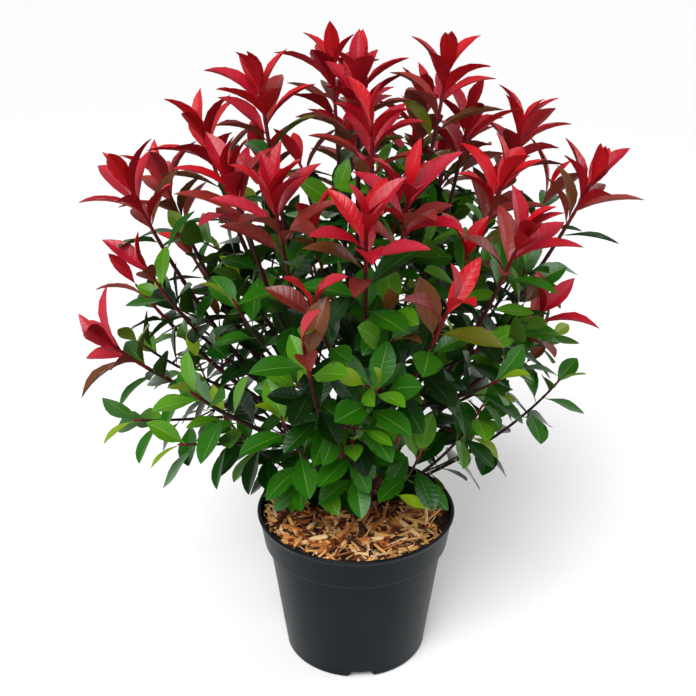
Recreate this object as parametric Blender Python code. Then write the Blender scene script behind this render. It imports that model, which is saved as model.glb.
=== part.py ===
"""A young photinia with red-tipped shoots, in a ten-litre nursery pot topped with shredded bark.

Metres, +Z up. The origin is the centre of the pot's flat underside, and the plant is usually seen
from -Y. The pot, its filling, the trunk, the boughs and the masses of foliage are objects of their own.
A bough is one tapering limb. A mass is a leading shoot with the side shoots, twigs and leaves that a
seeded rule grows on it, and it keeps to the space that is nearer to its own shoots than to any other.
"""

import math
from collections import namedtuple
from itertools import product

import bmesh
import bpy
import numpy as np
from mathutils.bvhtree import BVHTree

SEED = 11
GAP = 0.0003            # clearance between pieces that touch

# Pot: a tapering body, a wider collar and a slim lip, with drain notches round the foot
POT_SIDES = 32
RIM_HEIGHT = 0.223
RIM_RADIUS = 0.140
LIP_WIDTH = 0.0045
LIP_DROP = 0.0055       # height of the lip's rounded band
COLLAR_TOP_RADIUS = 0.1385
COLLAR_FOOT_RADIUS = 0.131
COLLAR_FOOT_HEIGHT = 0.176
SHOULDER_RADIUS = 0.1235
SHOULDER_HEIGHT = 0.168
FOOT_RADIUS = 0.1022
FOOT_ROUND = 0.005
WALL = 0.0022
FLOOR = 0.003
NOTCH_COUNT = 8
NOTCH_WIDTH = 0.038     # at the ground
NOTCH_TOP_WIDTH = 0.023
NOTCH_HEIGHT = 0.006
NOTCH_DEPTH = 0.011

# Filling: potting soil under a layer of shredded bark
SOIL_TOP = 0.199
MULCH_TOP = 0.212
MULCH_EDGE_DROP = 0.003
MULCH_LUMP = 0.0022
MULCH_RINGS = (0.112, 0.078)
MULCH_FLAT_RADIUS = 0.045   # level round the trunk's foot

# Trunk: from a flat cut on the bark up to the fork
TRUNK_FOOT = np.array((0.016, 0.018, MULCH_TOP + GAP))
TRUNK_TOP = np.array((0.007, 0.008, 0.288))
TRUNK_FOOT_RADIUS = 0.0155
TRUNK_RADIUS = 0.0112
TRUNK_TOP_RADIUS = 0.0088
TRUNK_SIDES = 16
FLARE_HEIGHT = 0.011
ROOT_LOBES = 5
ROOT_LOBE_DEPTH = 0.13

# Crown: the way to a shoot's tip is its bearing (degrees from +X towards +Y) and its lean (degrees
# from upright) as seen from the crown's centre, and its reach from there. In each list the first
# shoot leads its mass, and any other branches from the leader.
CROWN_CENTRE = np.array((0.0, 0.0, 0.26))
CROWN = {
    "left": {
        "left_outer": [(184, 33, 0.514)],
        "left_rear": [(162, 33, 0.492)],
        "left_middle": [(171, 47, 0.411)],
        "left_low": [(191, 53, 0.403), (195, 65, 0.330)],
    },
    "left_high": {
        "left_peak": [(159, 24, 0.526)],
        "left_top": [(190, 12, 0.562)],
        "left_inner": [(207, 20, 0.480)],
    },
    "front_left": {
        "front_left_high": [(240, 22, 0.497)],
        "front_left_low": [(257, 39, 0.418)],
        "front_left_outer": [(222, 49, 0.350)],
    },
    "top": {
        "top_rear": [(108, 10, 0.564), (118, 21, 0.450)],
        "top_middle": [(0, 0, 0.560)],
        "top_right": [(9, 11, 0.580), (53, 16, 0.522)],
    },
    "front": {
        "front_top": [(282, 9, 0.527)],
        "front_right_high": [(289, 20, 0.496)],
        "front_middle": [(272, 27, 0.503)],
        "front_right": [(293, 35, 0.437)],
    },
    "right_high": {
        "right_top": [(27, 18, 0.525)],
        "right_peak": [(28, 28, 0.535)],
        "right_inner": [(348, 22, 0.477)],
    },
    "right": {
        "right_outer": [(0, 34, 0.524), (21, 35, 0.485)],
        "right_front": [(322, 30, 0.470)],
        "right_low": [(340, 40, 0.380)],
    },
    "back_right": {
        "back_right_high": [(60, 32, 0.500)],
        "back_right_outer": [(38, 48, 0.422)],
        "back_right_low": [(72, 50, 0.400)],
    },
    "back": {
        "back_top": [(88, 18, 0.548)],
        "back_middle": [(92, 32, 0.508)],
        "back_low": [(103, 52, 0.390)],
    },
    "back_left": {
        "back_left_high": [(122, 33, 0.495)],
        "back_left_outer": [(143, 47, 0.418)],
        "back_left_low": [(125, 57, 0.343)],
    },
}
# Low green shoots that rise straight from the trunk, below the boughs, and spread over the pot's rim
SKIRT = {
    "skirt_left": (205, 52, 0.240),
    "skirt_front_left": (242, 45, 0.275),
    "skirt_front": (268, 47, 0.250),
    "skirt_front_right": (296, 52, 0.225),
    "skirt_right_front": (322, 47, 0.270),
    "skirt_right": (351, 56, 0.325),
    "skirt_back_right": (50, 58, 0.270),
    "skirt_back": (82, 50, 0.250),
    "skirt_back_left": (115, 60, 0.250),
    "skirt_left_back": (160, 50, 0.260),
}
BOUGH_BEARING = {
    "left": 188, "left_high": 175, "front_left": 240, "front": 293, "right": 346,
    "right_high": 15, "back_right": 46, "back": 94, "back_left": 134,
}
HIGH_BOUGHS = ("left_high", "right_high", "back")
BOUGH_SEAT = 0.246      # height at which the lower boughs leave the trunk
HIGH_BOUGH_SEAT = 0.271
SKIRT_SEAT = 0.2285
SEAT_SPAN = 2.5         # half the height of a limb's seat, in radii of the limb
BOUGH_REACH = 0.24      # share of the way to its shoots at which a bough ends
BOUGH_RADII = (0.0048, 0.0038)
BOUGH_SIDES = 6
BOUGH_RINGS = 5

# Shoots
LEADER_RADII = (0.0020, 0.0013)
SIDE_RADII = (0.0016, 0.0011)
SKIRT_RADII = (0.0024, 0.0013)
SHOOT_SIDES = 3
LEADER_RINGS = 5
SIDE_RINGS = 4
FORK_ROOM = 0.0024      # half the distance between leaders that start side by side on a bough's tip
FORK_ROUNDS = 60
SIDE_FORK = 0.30        # share of the leader's length below a side shoot
SIDE_SPREAD = (0.060, 0.100)    # how far beside its leader's tip a side shoot ends
SIDE_DROP = (0.12, 0.42)        # how far below it, as a share of the tip's height over the rim
SIDE_TRIES = 8
SIDE_OUT = (-0.6, 0.15)         # how much it turns away from the crown's middle, and not aside
RED_LINES = (0.492, 0.60)       # leading shoots, and side shoots, with tips above these heights are red

# Leaves, counted down from the tip of a shoot
FIRST_LEAF = 0.002
LEAF_STEP = 0.0094      # distance from the tip of leaf i is FIRST_LEAF + LEAF_STEP * i ** LEAF_POWER
LEAF_POWER = 1.16
MOST_LEAVES = 40
BARE_FOOT = 0.02        # no leaf this close to a shoot's foot
LEAF_ROOM = 0.040       # least distance between the middles of leaves below the rosettes
GOLDEN_TURN = math.radians(137.5)
ROSETTE_LENGTH = (0.040, 0.022)     # of a leading shoot, and of a side shoot
RED_LEAF = (0.084, 0.36)        # length, and width as a share of it
GREEN_LEAF = (0.080, 0.52)
LEAF_THICKNESS = 0.0125         # share of the length
LEAF_FOLD = 0.10                # rise of the sides over the midrib, as a share of the length
LEAF_WAIST = 0.48               # share of the length at which a leaf is widest
LEAF_NECK = 0.18                # share of the length that may meet other growth beside its root
SPACE_MARGIN = 0.0025
LIMB_MARGIN = 0.0030
HEM_HEIGHT = 0.24               # no leaf is lower than this, nor lower than a slope that rises outward
HEM_RADIUS = 0.12               # from here, and sooner towards -Y, where the bark shows
HEM_RISE = 0.30
RETRY_TURNS = np.radians((0, 35, -35, 70, -70, 110, -110, 150))
RETRY_SIZES = (1.0, 0.75)

UP = np.array((0.0, 0.0, 1.0))
Shoot = namedtuple("Shoot", "mass route radii red number side seat")


def unit(vector):
    """The vector at length one, or each row of an array at length one."""
    return vector / np.linalg.norm(vector, axis=-1, keepdims=True)


def level(bearing):
    """Level direction at a bearing in degrees."""
    angle = math.radians(bearing)
    return np.array((math.cos(angle), math.sin(angle), 0.0))


def shoot_tip(way):
    """Point at a bearing, lean and reach from the crown's centre."""
    bearing, lean, reach = way
    tilt = math.radians(lean)
    return CROWN_CENTRE + reach * (math.sin(tilt) * level(bearing) + math.cos(tilt) * UP)


def rising_curve(start, end, rings, level_share=0.62, rise_share=0.42):
    """Curve that first spreads and then turns up: (1-t)^2 start + 2t(1-t) control + t^2 end."""
    span = end - start
    control = start + span * np.array((level_share, level_share, rise_share))
    t = np.linspace(0.0, 1.0, rings)[:, None]
    return (1 - t) ** 2 * start + 2 * t * (1 - t) * control + t ** 2 * end


def cross_frame(directions, chord):
    """Two directions square to each given one, which turn as little as the limb does."""
    reference = np.array((1.0, 0, 0)) if abs(chord[0]) < abs(chord[1]) else np.array((0, 1.0, 0))
    side = unit(np.cross(directions, reference))
    return side, np.cross(directions, side)


def limb_shape(route, radii, sides, seat=None):
    """Points and faces of a closed limb: a ring square to the route at each point and a cap at each
    end. With a seat, the first ring is slid along the limb onto the plane with that normal."""
    directions = unit(np.gradient(route, axis=0))
    side, lift = cross_frame(directions, route[-1] - route[0])
    turn = np.linspace(0, 2 * math.pi, sides, endpoint=False)
    circle = np.cos(turn)[None, :, None] * side[:, None] + np.sin(turn)[None, :, None] * lift[:, None]
    radius = np.linspace(radii[0], radii[-1], len(route)) if len(radii) == 2 else np.asarray(radii)
    rings = route[:, None] + radius[:, None, None] * circle
    if seat is not None:
        slide = ((rings[0] - route[0]) @ seat) / (directions[0] @ seat)
        rings[0] -= slide[:, None] * directions[0]
    faces = [tuple(reversed(range(sides)))]
    for ring in range(len(route) - 1):
        low, high = ring * sides, (ring + 1) * sides
        for k in range(sides):
            after = (k + 1) % sides
            faces.append((low + k, low + after, high + after, high + k))
    faces.append(tuple(range((len(route) - 1) * sides, len(route) * sides)))
    return rings.reshape(-1, 3), faces


def leaf_shape(root, along, upper, length, width):
    """Points and faces of a thin closed kite, its sides raised over the midrib."""
    across = np.cross(upper, along)
    thick = 0.5 * LEAF_THICKNESS * length * upper
    tip = root + length * along
    waist = root + LEAF_WAIST * length * along + LEAF_FOLD * length * upper
    left = waist + 0.5 * width * length * across
    right = waist - 0.5 * width * length * across
    points = np.array((root + thick, root - thick, tip + thick, tip - thick, left, right))
    faces = [(0, 2, 4), (0, 5, 2), (1, 4, 3), (1, 3, 5), (0, 4, 1), (0, 1, 5), (2, 3, 4), (2, 5, 3)]
    return points, faces


def make_material(name, colour, roughness):
    """Plain surface of one colour."""
    material = bpy.data.materials.new(name)
    material.use_nodes = True
    shader = material.node_tree.nodes["Principled BSDF"]
    shader.inputs["Base Color"].default_value = (*colour, 1.0)
    shader.inputs["Roughness"].default_value = roughness
    shader.inputs["Metallic"].default_value = 0.0
    material.diffuse_color = (*colour, 1.0)
    return material


def make_object(name, points, faces, material):
    """Object with its shape in world space, linked to the scene."""
    mesh = bpy.data.meshes.new(name)
    mesh.from_pydata(np.asarray(points).tolist(), [], faces)
    mesh.materials.append(material)
    obj = bpy.data.objects.new(name, mesh)
    bpy.context.scene.collection.objects.link(obj)
    return obj


def turned_object(name, profile, material, sides=POT_SIDES):
    """Solid turned about the Z axis from a profile that starts and ends on the axis."""
    shape = bmesh.new()
    corners = [shape.verts.new((radius, 0.0, height)) for radius, height in profile]
    edges = [shape.edges.new(pair) for pair in zip(corners, corners[1:])]
    bmesh.ops.spin(shape, geom=corners + edges, axis=(0, 0, 1), cent=(0, 0, 0),
                   angle=2 * math.pi, steps=sides)
    bmesh.ops.remove_doubles(shape, verts=shape.verts, dist=1e-5)
    bmesh.ops.recalc_face_normals(shape, faces=shape.faces)
    obj = make_object(name, [], [], material)
    shape.to_mesh(obj.data)
    shape.free()
    obj.data.shade_smooth()
    obj.data.set_sharp_from_angle(angle=math.radians(35))
    return obj


def apply_modifiers(obj):
    """Replace the object's mesh by the one its modifiers give."""
    graph = bpy.context.evaluated_depsgraph_get()
    graph.update()
    result = bpy.data.meshes.new_from_object(obj.evaluated_get(graph))
    old = obj.data
    obj.modifiers.clear()
    obj.data = result
    bpy.data.meshes.remove(old)


def inner_radius(height):
    """Radius of the pot's inner wall at a height."""
    heights = (FLOOR, SHOULDER_HEIGHT, COLLAR_FOOT_HEIGHT, RIM_HEIGHT - LIP_DROP)
    radii = (FOOT_RADIUS, SHOULDER_RADIUS, COLLAR_FOOT_RADIUS, COLLAR_TOP_RADIUS)
    return float(np.interp(height, heights, radii)) - WALL


def build_pot():
    """Thin-walled pot, with notches cut through its foot for draining."""
    plastic = make_material("pot_plastic", (0.028, 0.032, 0.036), 0.42)
    lip_foot = RIM_HEIGHT - LIP_DROP
    pot = turned_object("pot", [
        (0.0, 0.0),
        (FOOT_RADIUS - FOOT_ROUND, 0.0),
        (FOOT_RADIUS, FOOT_ROUND),
        (SHOULDER_RADIUS, SHOULDER_HEIGHT),
        (COLLAR_FOOT_RADIUS, COLLAR_FOOT_HEIGHT),
        (COLLAR_TOP_RADIUS, lip_foot),
        (RIM_RADIUS, lip_foot + WALL / 2),
        (RIM_RADIUS, RIM_HEIGHT - WALL / 2),
        (RIM_RADIUS - LIP_WIDTH / 3, RIM_HEIGHT),
        (RIM_RADIUS - LIP_WIDTH, RIM_HEIGHT),
        (inner_radius(lip_foot), lip_foot),
        (inner_radius(COLLAR_FOOT_HEIGHT), COLLAR_FOOT_HEIGHT),
        (inner_radius(SHOULDER_HEIGHT), SHOULDER_HEIGHT),
        (inner_radius(FLOOR), FLOOR),
        (0.0, FLOOR),
    ], plastic)
    cutters = bpy.data.collections.new("notch_cutters")
    bpy.context.scene.collection.children.link(cutters)
    outer = FOOT_RADIUS + 2 * FOOT_ROUND
    inner = FOOT_RADIUS - NOTCH_DEPTH
    below = -FOOT_ROUND
    for k in range(NOTCH_COUNT):
        bearing = 270 + 360 * k / NOTCH_COUNT
        out = level(bearing)
        across = level(bearing + 90)
        points = []
        for reach in (inner, outer):
            for height, width in ((below, NOTCH_WIDTH), (0.0, NOTCH_WIDTH), (NOTCH_HEIGHT, NOTCH_TOP_WIDTH)):
                for half in (-0.5, 0.5):
                    points.append(reach * out + half * width * across + height * UP)
        faces = [(0, 2, 3, 1), (2, 4, 5, 3), (6, 7, 9, 8), (8, 9, 11, 10),
                 (0, 6, 8, 2), (2, 8, 10, 4), (1, 3, 9, 7), (3, 5, 11, 9), (0, 1, 7, 6), (4, 10, 11, 5)]
        cutter = make_object(f"notch_cutter_{k}", points, faces, plastic)
        bpy.context.scene.collection.objects.unlink(cutter)
        cutters.objects.link(cutter)
        shape = bmesh.new()
        shape.from_mesh(cutter.data)
        bmesh.ops.recalc_face_normals(shape, faces=shape.faces)
        shape.to_mesh(cutter.data)
        shape.free()
    cut = pot.modifiers.new("drain_notches", "BOOLEAN")
    cut.operation = "DIFFERENCE"
    cut.operand_type = "COLLECTION"
    cut.collection = cutters
    cut.solver = "EXACT"
    apply_modifiers(pot)
    remove_collection(cutters)


def remove_collection(collection):
    """Remove a collection of helpers with its objects."""
    for helper in list(collection.objects):
        bpy.data.objects.remove(helper, do_unlink=True)
    bpy.data.collections.remove(collection)


def build_filling():
    """Potting soil up to the bark, and the layer of bark with a lumpy top."""
    clear = GAP / math.cos(math.pi / POT_SIDES) + GAP
    turned_object("potting_soil", [
        (0.0, FLOOR + GAP),
        (inner_radius(FLOOR) - clear, FLOOR + GAP),
        (inner_radius(SHOULDER_HEIGHT) - clear, SHOULDER_HEIGHT),
        (inner_radius(COLLAR_FOOT_HEIGHT) - clear, COLLAR_FOOT_HEIGHT),
        (inner_radius(SOIL_TOP) - clear, SOIL_TOP),
        (0.0, SOIL_TOP),
    ], make_material("potting_soil", (0.030, 0.018, 0.011), 0.9), POT_SIDES // 2)
    bottom = SOIL_TOP + GAP
    edge = MULCH_TOP - MULCH_EDGE_DROP
    mulch = turned_object("mulch", [
        (0.0, bottom),
        (inner_radius(bottom) - clear, bottom),
        (inner_radius(edge) - clear, edge),
        *((radius, MULCH_TOP) for radius in MULCH_RINGS),
        (MULCH_FLAT_RADIUS, MULCH_TOP),
        (0.0, MULCH_TOP),
    ], make_material("bark_mulch", (0.32, 0.15, 0.055), 0.85))
    random = np.random.default_rng(SEED)
    for vertex in mulch.data.vertices:
        radius = math.hypot(vertex.co.x, vertex.co.y)
        if vertex.co.z > edge - GAP and radius > MULCH_FLAT_RADIUS + GAP:
            vertex.co.z += MULCH_LUMP * random.uniform(-1.0, 0.6)


def trunk_axis(height):
    """Point of the trunk's middle line at a height."""
    share = (height - TRUNK_FOOT[2]) / (TRUNK_TOP[2] - TRUNK_FOOT[2])
    return TRUNK_FOOT + share * (TRUNK_TOP - TRUNK_FOOT)


def trunk_radius(height):
    """Radius of the trunk at a height: straight taper above the flare of the roots."""
    flare_top = TRUNK_FOOT[2] + FLARE_HEIGHT
    heights = (TRUNK_FOOT[2], TRUNK_FOOT[2] + FLARE_HEIGHT / 2, flare_top, TRUNK_TOP[2])
    middle = 0.28 * TRUNK_FOOT_RADIUS + 0.72 * TRUNK_RADIUS
    return float(np.interp(height, heights, (TRUNK_FOOT_RADIUS, middle, TRUNK_RADIUS, TRUNK_TOP_RADIUS)))


def build_trunk(bark):
    """Short leaning stem, with lobes at its foot where the roots run in."""
    flare = TRUNK_FOOT[2] + FLARE_HEIGHT
    heights = [TRUNK_FOOT[2], TRUNK_FOOT[2] + FLARE_HEIGHT / 2, flare, 0.24, 0.256, 0.272, TRUNK_TOP[2]]
    turn = np.linspace(0, 2 * math.pi, TRUNK_SIDES, endpoint=False)
    points = []
    for height in heights:
        lobes = ROOT_LOBE_DEPTH * max(0.0, 1 - (height - TRUNK_FOOT[2]) / FLARE_HEIGHT)
        radius = trunk_radius(height) * (1 + lobes * np.cos(ROOT_LOBES * turn))
        middle = trunk_axis(height)
        points += [(middle[0] + r * math.cos(a), middle[1] + r * math.sin(a), height)
                   for r, a in zip(radius, turn)]
    faces = [tuple(reversed(range(TRUNK_SIDES)))]
    for ring in range(len(heights) - 1):
        low, high = ring * TRUNK_SIDES, (ring + 1) * TRUNK_SIDES
        for k in range(TRUNK_SIDES):
            after = (k + 1) % TRUNK_SIDES
            faces.append((low + k, low + after, high + after, high + k))
    faces.append(tuple(range(len(points) - TRUNK_SIDES, len(points))))
    trunk = make_object("trunk", points, faces, bark)
    trunk.data.shade_smooth()
    trunk.data.set_sharp_from_angle(angle=math.radians(50))


def trunk_seat(bearing, height, radius):
    """Point just clear of the trunk's side where a limb of that radius can start, and the normal of
    the plane it starts from, which lies along the leaning side of the trunk there."""
    out = level(bearing)
    foot, top = height - SEAT_SPAN * radius, height + SEAT_SPAN * radius
    foot_reach, top_reach = (trunk_axis(z) @ out + trunk_radius(z) for z in (foot, top))
    middle = trunk_axis(height)
    start = middle + (0.5 * (foot_reach + top_reach) + GAP - middle @ out) * out
    return start, unit((top - foot) * out - (top_reach - foot_reach) * UP)


def plan_boughs():
    """Route, and seat normal, of each bough, and the end where its masses start."""
    plans = {}
    for name, masses in CROWN.items():
        tips = np.array([shoot_tip(ways[0]) for ways in masses.values()])
        if name == "top":
            start, seat = TRUNK_TOP + GAP * UP, UP
        else:
            height = HIGH_BOUGH_SEAT if name in HIGH_BOUGHS else BOUGH_SEAT
            start, seat = trunk_seat(BOUGH_BEARING[name], height, BOUGH_RADII[0])
        end = CROWN_CENTRE + BOUGH_REACH * (tips.mean(axis=0) - CROWN_CENTRE)
        level_share = 0.62 if name == "top" else 0.74
        plans[name] = (rising_curve(start, end, BOUGH_RINGS, level_share, 0.36), seat)
    return plans


def leader_starts(route, tips):
    """Places side by side on the flat tip of a bough, each on the side that its shoot leaves by:
    they start close together and push each other apart until there is room for all."""
    direction = unit(route[-1] - route[-2])
    side, lift = cross_frame(direction, route[-1] - route[0])
    ways = np.array([((tip - route[-1]) @ side, (tip - route[-1]) @ lift) for tip in tips])
    places = FORK_ROOM * (ways - ways.mean(axis=0)) / np.abs(ways).max()
    for _ in range(FORK_ROUNDS):
        apart = places[:, None] - places
        gaps = np.linalg.norm(apart, axis=2) + np.eye(len(tips))
        push = np.clip(2 * FORK_ROOM - gaps, 0.0, None) * (1 - np.eye(len(tips)))
        places = places + 0.25 * (apart / gaps[:, :, None] * push[:, :, None]).sum(axis=1)
    starts = route[-1] + GAP * direction + places @ np.array((side, lift))
    return starts, direction


def route_length(route):
    """Length of a route."""
    return float(np.linalg.norm(np.diff(route, axis=0), axis=1).sum())


def dense(route, spacing=0.006):
    """Points at even distances along a route."""
    steps = np.linalg.norm(np.diff(route, axis=0), axis=1)
    reached = np.concatenate(([0.0], np.cumsum(steps)))
    places = np.linspace(0.0, reached[-1], max(2, round(reached[-1] / spacing)))
    return np.column_stack([np.interp(places, reached, route[:, axis]) for axis in range(3)])


def along_route(route, distance):
    """Point, and direction of growth, at a distance back from the tip of a route."""
    steps = np.linalg.norm(np.diff(route, axis=0), axis=1)
    reached = np.concatenate(([0.0], np.cumsum(steps)))
    place = reached[-1] - distance
    k = int(np.clip(np.searchsorted(reached, place) - 1, 0, len(steps) - 1))
    direction = (route[k + 1] - route[k]) / steps[k]
    return route[k] + (place - reached[k]) * direction, direction


def side_tip(tip, random):
    """Seeded end of a side shoot, beside and below its leader's tip."""
    outward = unit((tip - CROWN_CENTRE) * np.array((1.0, 1.0, 0.0)) + 1e-6)
    sideways = np.cross(UP, outward) * (1 if random.random() < 0.5 else -1)
    spread = random.uniform(*SIDE_SPREAD)
    drop = random.uniform(*SIDE_DROP) * (tip[2] - RIM_HEIGHT)
    return tip + spread * unit(sideways + random.uniform(*SIDE_OUT) * outward) - drop * UP


def room_along(route, mass, shoots):
    """Least distance of a route from the shoots of other masses, and of its outer half from any."""
    points = dense(route)
    half = len(points) // 2
    least = 1.0
    for shoot in shoots:
        near = points[half:] if shoot.mass == mass else points
        gaps = np.linalg.norm(near[:, None] - dense(shoot.route), axis=2)
        least = min(least, float(gaps.min()))
    return least


def plan_shoots(boughs):
    """Leading and side shoots of every mass. A side shoot is the one with most room of a few."""
    shoots = []

    def add(mass, route, radii, seat=None):
        side = seat is None
        red = route[-1][2] > RED_LINES[side]
        shoots.append(Shoot(mass, route, radii, red, len(shoots), side, seat))

    for name, masses in CROWN.items():
        route = boughs[name][0]
        tips = [shoot_tip(ways[0]) for ways in masses.values()]
        starts, seat = leader_starts(route, tips)
        for mass, start, tip in zip(masses, starts, tips):
            add(mass, rising_curve(start, tip, LEADER_RINGS), LEADER_RADII, seat)
    for mass, way in SKIRT.items():
        start, seat = trunk_seat(way[0], SKIRT_SEAT, SKIRT_RADII[0])
        add(mass, rising_curve(start, shoot_tip(way), LEADER_RINGS, 0.70, 0.45), SKIRT_RADII, seat)
    leaders = {shoot.mass: shoot.route for shoot in shoots}
    for masses in CROWN.values():
        for mass, ways in masses.items():
            leader = leaders[mass]
            fork = leader[round(SIDE_FORK * (LEADER_RINGS - 1))]
            random = np.random.default_rng((SEED, 1, len(shoots)))
            tips = [shoot_tip(way) for way in ways[1:]]
            tips = tips or [side_tip(leader[-1], random) for _ in range(SIDE_TRIES)]
            routes = [rising_curve(fork, tip, SIDE_RINGS) for tip in tips]
            add(mass, max(routes, key=lambda route: room_along(route, mass, shoots)), SIDE_RADII)
    return shoots


class Space:
    """Says whether points keep to the space of one mass, clear of limbs and above the crown's hem."""

    def __init__(self, shoots, boughs):
        stretches = [dense(shoot.route) for shoot in shoots]
        self.points = np.concatenate(stretches)
        self.owners = np.concatenate([[shoot.mass] * len(p) for shoot, p in zip(shoots, stretches)])
        limbs = [(dense(route), BOUGH_RADII[0]) for route, _ in boughs.values()]
        limbs.append((dense(np.array((TRUNK_FOOT, TRUNK_TOP))), TRUNK_RADIUS))
        self.limbs = np.concatenate([points for points, _ in limbs])
        self.limb_radii = np.concatenate([[radius] * len(points) for points, radius in limbs])

    def holds(self, points, mass):
        """True where every point is in the mass's own space."""
        reach = np.linalg.norm(points[:, None] - self.points, axis=2)
        own = reach[:, self.owners == mass].min(axis=1)
        other = reach[:, self.owners != mass].min(axis=1)
        if (own + 2 * SPACE_MARGIN > other).any():
            return False
        limbs = np.linalg.norm(points[:, None] - self.limbs, axis=2) - self.limb_radii
        if limbs.min() < LIMB_MARGIN:
            return False
        out = np.hypot(points[:, 0], points[:, 1]) + np.clip(-points[:, 1], 0, None)
        hem = HEM_HEIGHT + HEM_RISE * np.clip(out - HEM_RADIUS, 0, None)
        return bool((points[:, 2] > hem).all())


def leaf_samples(points):
    """Points spread over a leaf from its root's surroundings to its tip."""
    root, tip, left, right = points[0], points[2], points[4], points[5]
    ways = [(root, tip), (root, left), (root, right), (left, tip), (right, tip), (left, right)]
    samples = [(1 - t) * a + t * b for a, b in ways for t in (0.25, 0.5, 0.75, 1.0)]
    return np.array([p for p in samples if np.linalg.norm(p - root) > 0.012])


class Growth:
    """What has grown so far: the middles of all leaves, and each mass's own surfaces."""

    def __init__(self, shoots):
        self.middles = []
        self.surfaces = {shoot.mass: [] for shoot in shoots}
        for shoot in shoots:
            points, faces = limb_shape(shoot.route, shoot.radii, SHOOT_SIDES)
            self.surfaces[shoot.mass].append(BVHTree.FromPolygons(points.tolist(), faces))

    def has_room(self, middle):
        """True where no other leaf's middle is near."""
        return not self.middles or np.linalg.norm(np.array(self.middles) - middle, axis=1).min() > LEAF_ROOM

    def crosses(self, blade, mass):
        """True where a leaf past its neck cuts another leaf or a shoot of its mass."""
        return any(blade.overlap(surface) for surface in self.surfaces[mass])


def leaves_on(shoot, space, growth):
    """Leaves in a spiral down a shoot, upright at its tip and spreading below it."""
    random = np.random.default_rng((SEED, 2, shoot.number))
    start_turn = random.uniform(0, 2 * math.pi)
    length = route_length(shoot.route)
    leaves = []
    for index in range(MOST_LEAVES):
        distance = FIRST_LEAF + LEAF_STEP * index ** LEAF_POWER
        if distance > length - BARE_FOOT:
            break
        root, stem = along_route(shoot.route, distance)
        side, lift = cross_frame(stem, shoot.route[-1] - shoot.route[0])
        red = shoot.red and distance < ROSETTE_LENGTH[shoot.side]
        size, slimness = RED_LEAF if red else GREEN_LEAF
        size *= np.interp(distance, (0, 0.015, 0.05, 0.3), (0.72, 1.0, 1.0, 0.86)) * random.uniform(0.9, 1.1)
        spread = np.interp(distance, (0, 0.02, 0.06, 0.12), (24, 48, 64, 74)) + random.uniform(-8, 8)
        droop = np.interp(distance, (0.03, 0.15), (0.0, 0.22))
        tilt = math.radians(spread)
        for share, turn in product(RETRY_SIZES, RETRY_TURNS):
            around = start_turn + index * GOLDEN_TURN + turn
            out = math.cos(around) * side + math.sin(around) * lift
            along = unit(math.cos(tilt) * stem + math.sin(tilt) * out - droop * UP)
            facing = stem + 2 * droop * UP
            upper = unit(facing - (facing @ along) * along)
            points, faces = leaf_shape(root, along, upper, share * size, slimness)
            middle = points[4:6].mean(axis=0)
            if not red and not growth.has_room(middle):
                continue
            if not space.holds(leaf_samples(points), shoot.mass):
                continue
            past_neck = points.copy()
            past_neck[:2] += LEAF_NECK * share * size * along
            blade = BVHTree.FromPolygons(past_neck.tolist(), faces)
            if growth.crosses(blade, shoot.mass):
                continue
            growth.surfaces[shoot.mass].append(blade)
            growth.middles.append(middle)
            leaves.append((points, faces, red))
            break
    return leaves


def keep_largest_piece(obj):
    """Drop loose scraps and sealed hollows: keep only the piece with the most faces."""
    shape = bmesh.new()
    shape.from_mesh(obj.data)
    left = set(shape.faces)
    pieces = []
    while left:
        seed = left.pop()
        piece, front = [seed], [seed]
        while front:
            for edge in front.pop().edges:
                for face in edge.link_faces:
                    if face in left:
                        left.remove(face)
                        piece.append(face)
                        front.append(face)
        pieces.append(piece)
    pieces.sort(key=len)
    for piece in pieces[:-1]:
        bmesh.ops.delete(shape, geom=piece, context="FACES")
    shape.to_mesh(obj.data)
    shape.free()


def build_mass(name, grown, bark, red, green):
    """One solid: the shoots of a mass and their leaves, joined by a union."""
    (leader, leaves), *others = grown
    mass = make_object(name, *limb_shape(leader.route, leader.radii, SHOOT_SIDES, leader.seat), bark)
    helpers = bpy.data.collections.new(name + "_growth")
    bpy.context.scene.collection.children.link(helpers)
    shapes = [(*leaf[:2], red if leaf[2] else green) for leaf in leaves]
    for shoot, leaves in others:
        shapes.append((*limb_shape(shoot.route, shoot.radii, SHOOT_SIDES), bark))
        shapes += [(*leaf[:2], red if leaf[2] else green) for leaf in leaves]
    for number, (points, faces, material) in enumerate(shapes):
        helper = make_object(f"{name}_{number}", points, faces, material)
        bpy.context.scene.collection.objects.unlink(helper)
        helpers.objects.link(helper)
    join = mass.modifiers.new("join", "BOOLEAN")
    join.operation = "UNION"
    join.operand_type = "COLLECTION"
    join.collection = helpers
    join.solver = "EXACT"
    join.material_mode = "TRANSFER"
    apply_modifiers(mass)
    remove_collection(helpers)
    keep_largest_piece(mass)


def main():
    """Build the pot with its filling, then the limbs, then every mass of the crown."""
    for obj in list(bpy.data.objects):
        bpy.data.objects.remove(obj, do_unlink=True)
    bark = make_material("bark", (0.085, 0.032, 0.022), 0.6)
    red = make_material("red_leaves", (0.50, 0.016, 0.030), 0.4)
    green = make_material("green_leaves", (0.030, 0.110, 0.022), 0.4)
    build_pot()
    build_filling()
    build_trunk(bark)
    boughs = plan_boughs()
    for name, (route, seat) in boughs.items():
        limb = make_object("bough_" + name, *limb_shape(route, BOUGH_RADII, BOUGH_SIDES, seat), bark)
        limb.data.shade_smooth()
        limb.data.set_sharp_from_angle(angle=math.radians(65))
    shoots = plan_shoots(boughs)
    space = Space(shoots, boughs)
    growth = Growth(shoots)
    grown = [(shoot, leaves_on(shoot, space, growth)) for shoot in shoots]
    for name in dict.fromkeys(shoot.mass for shoot in shoots):
        build_mass(name, [pair for pair in grown if pair[0].mass == name], bark, red, green)


main()
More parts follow.
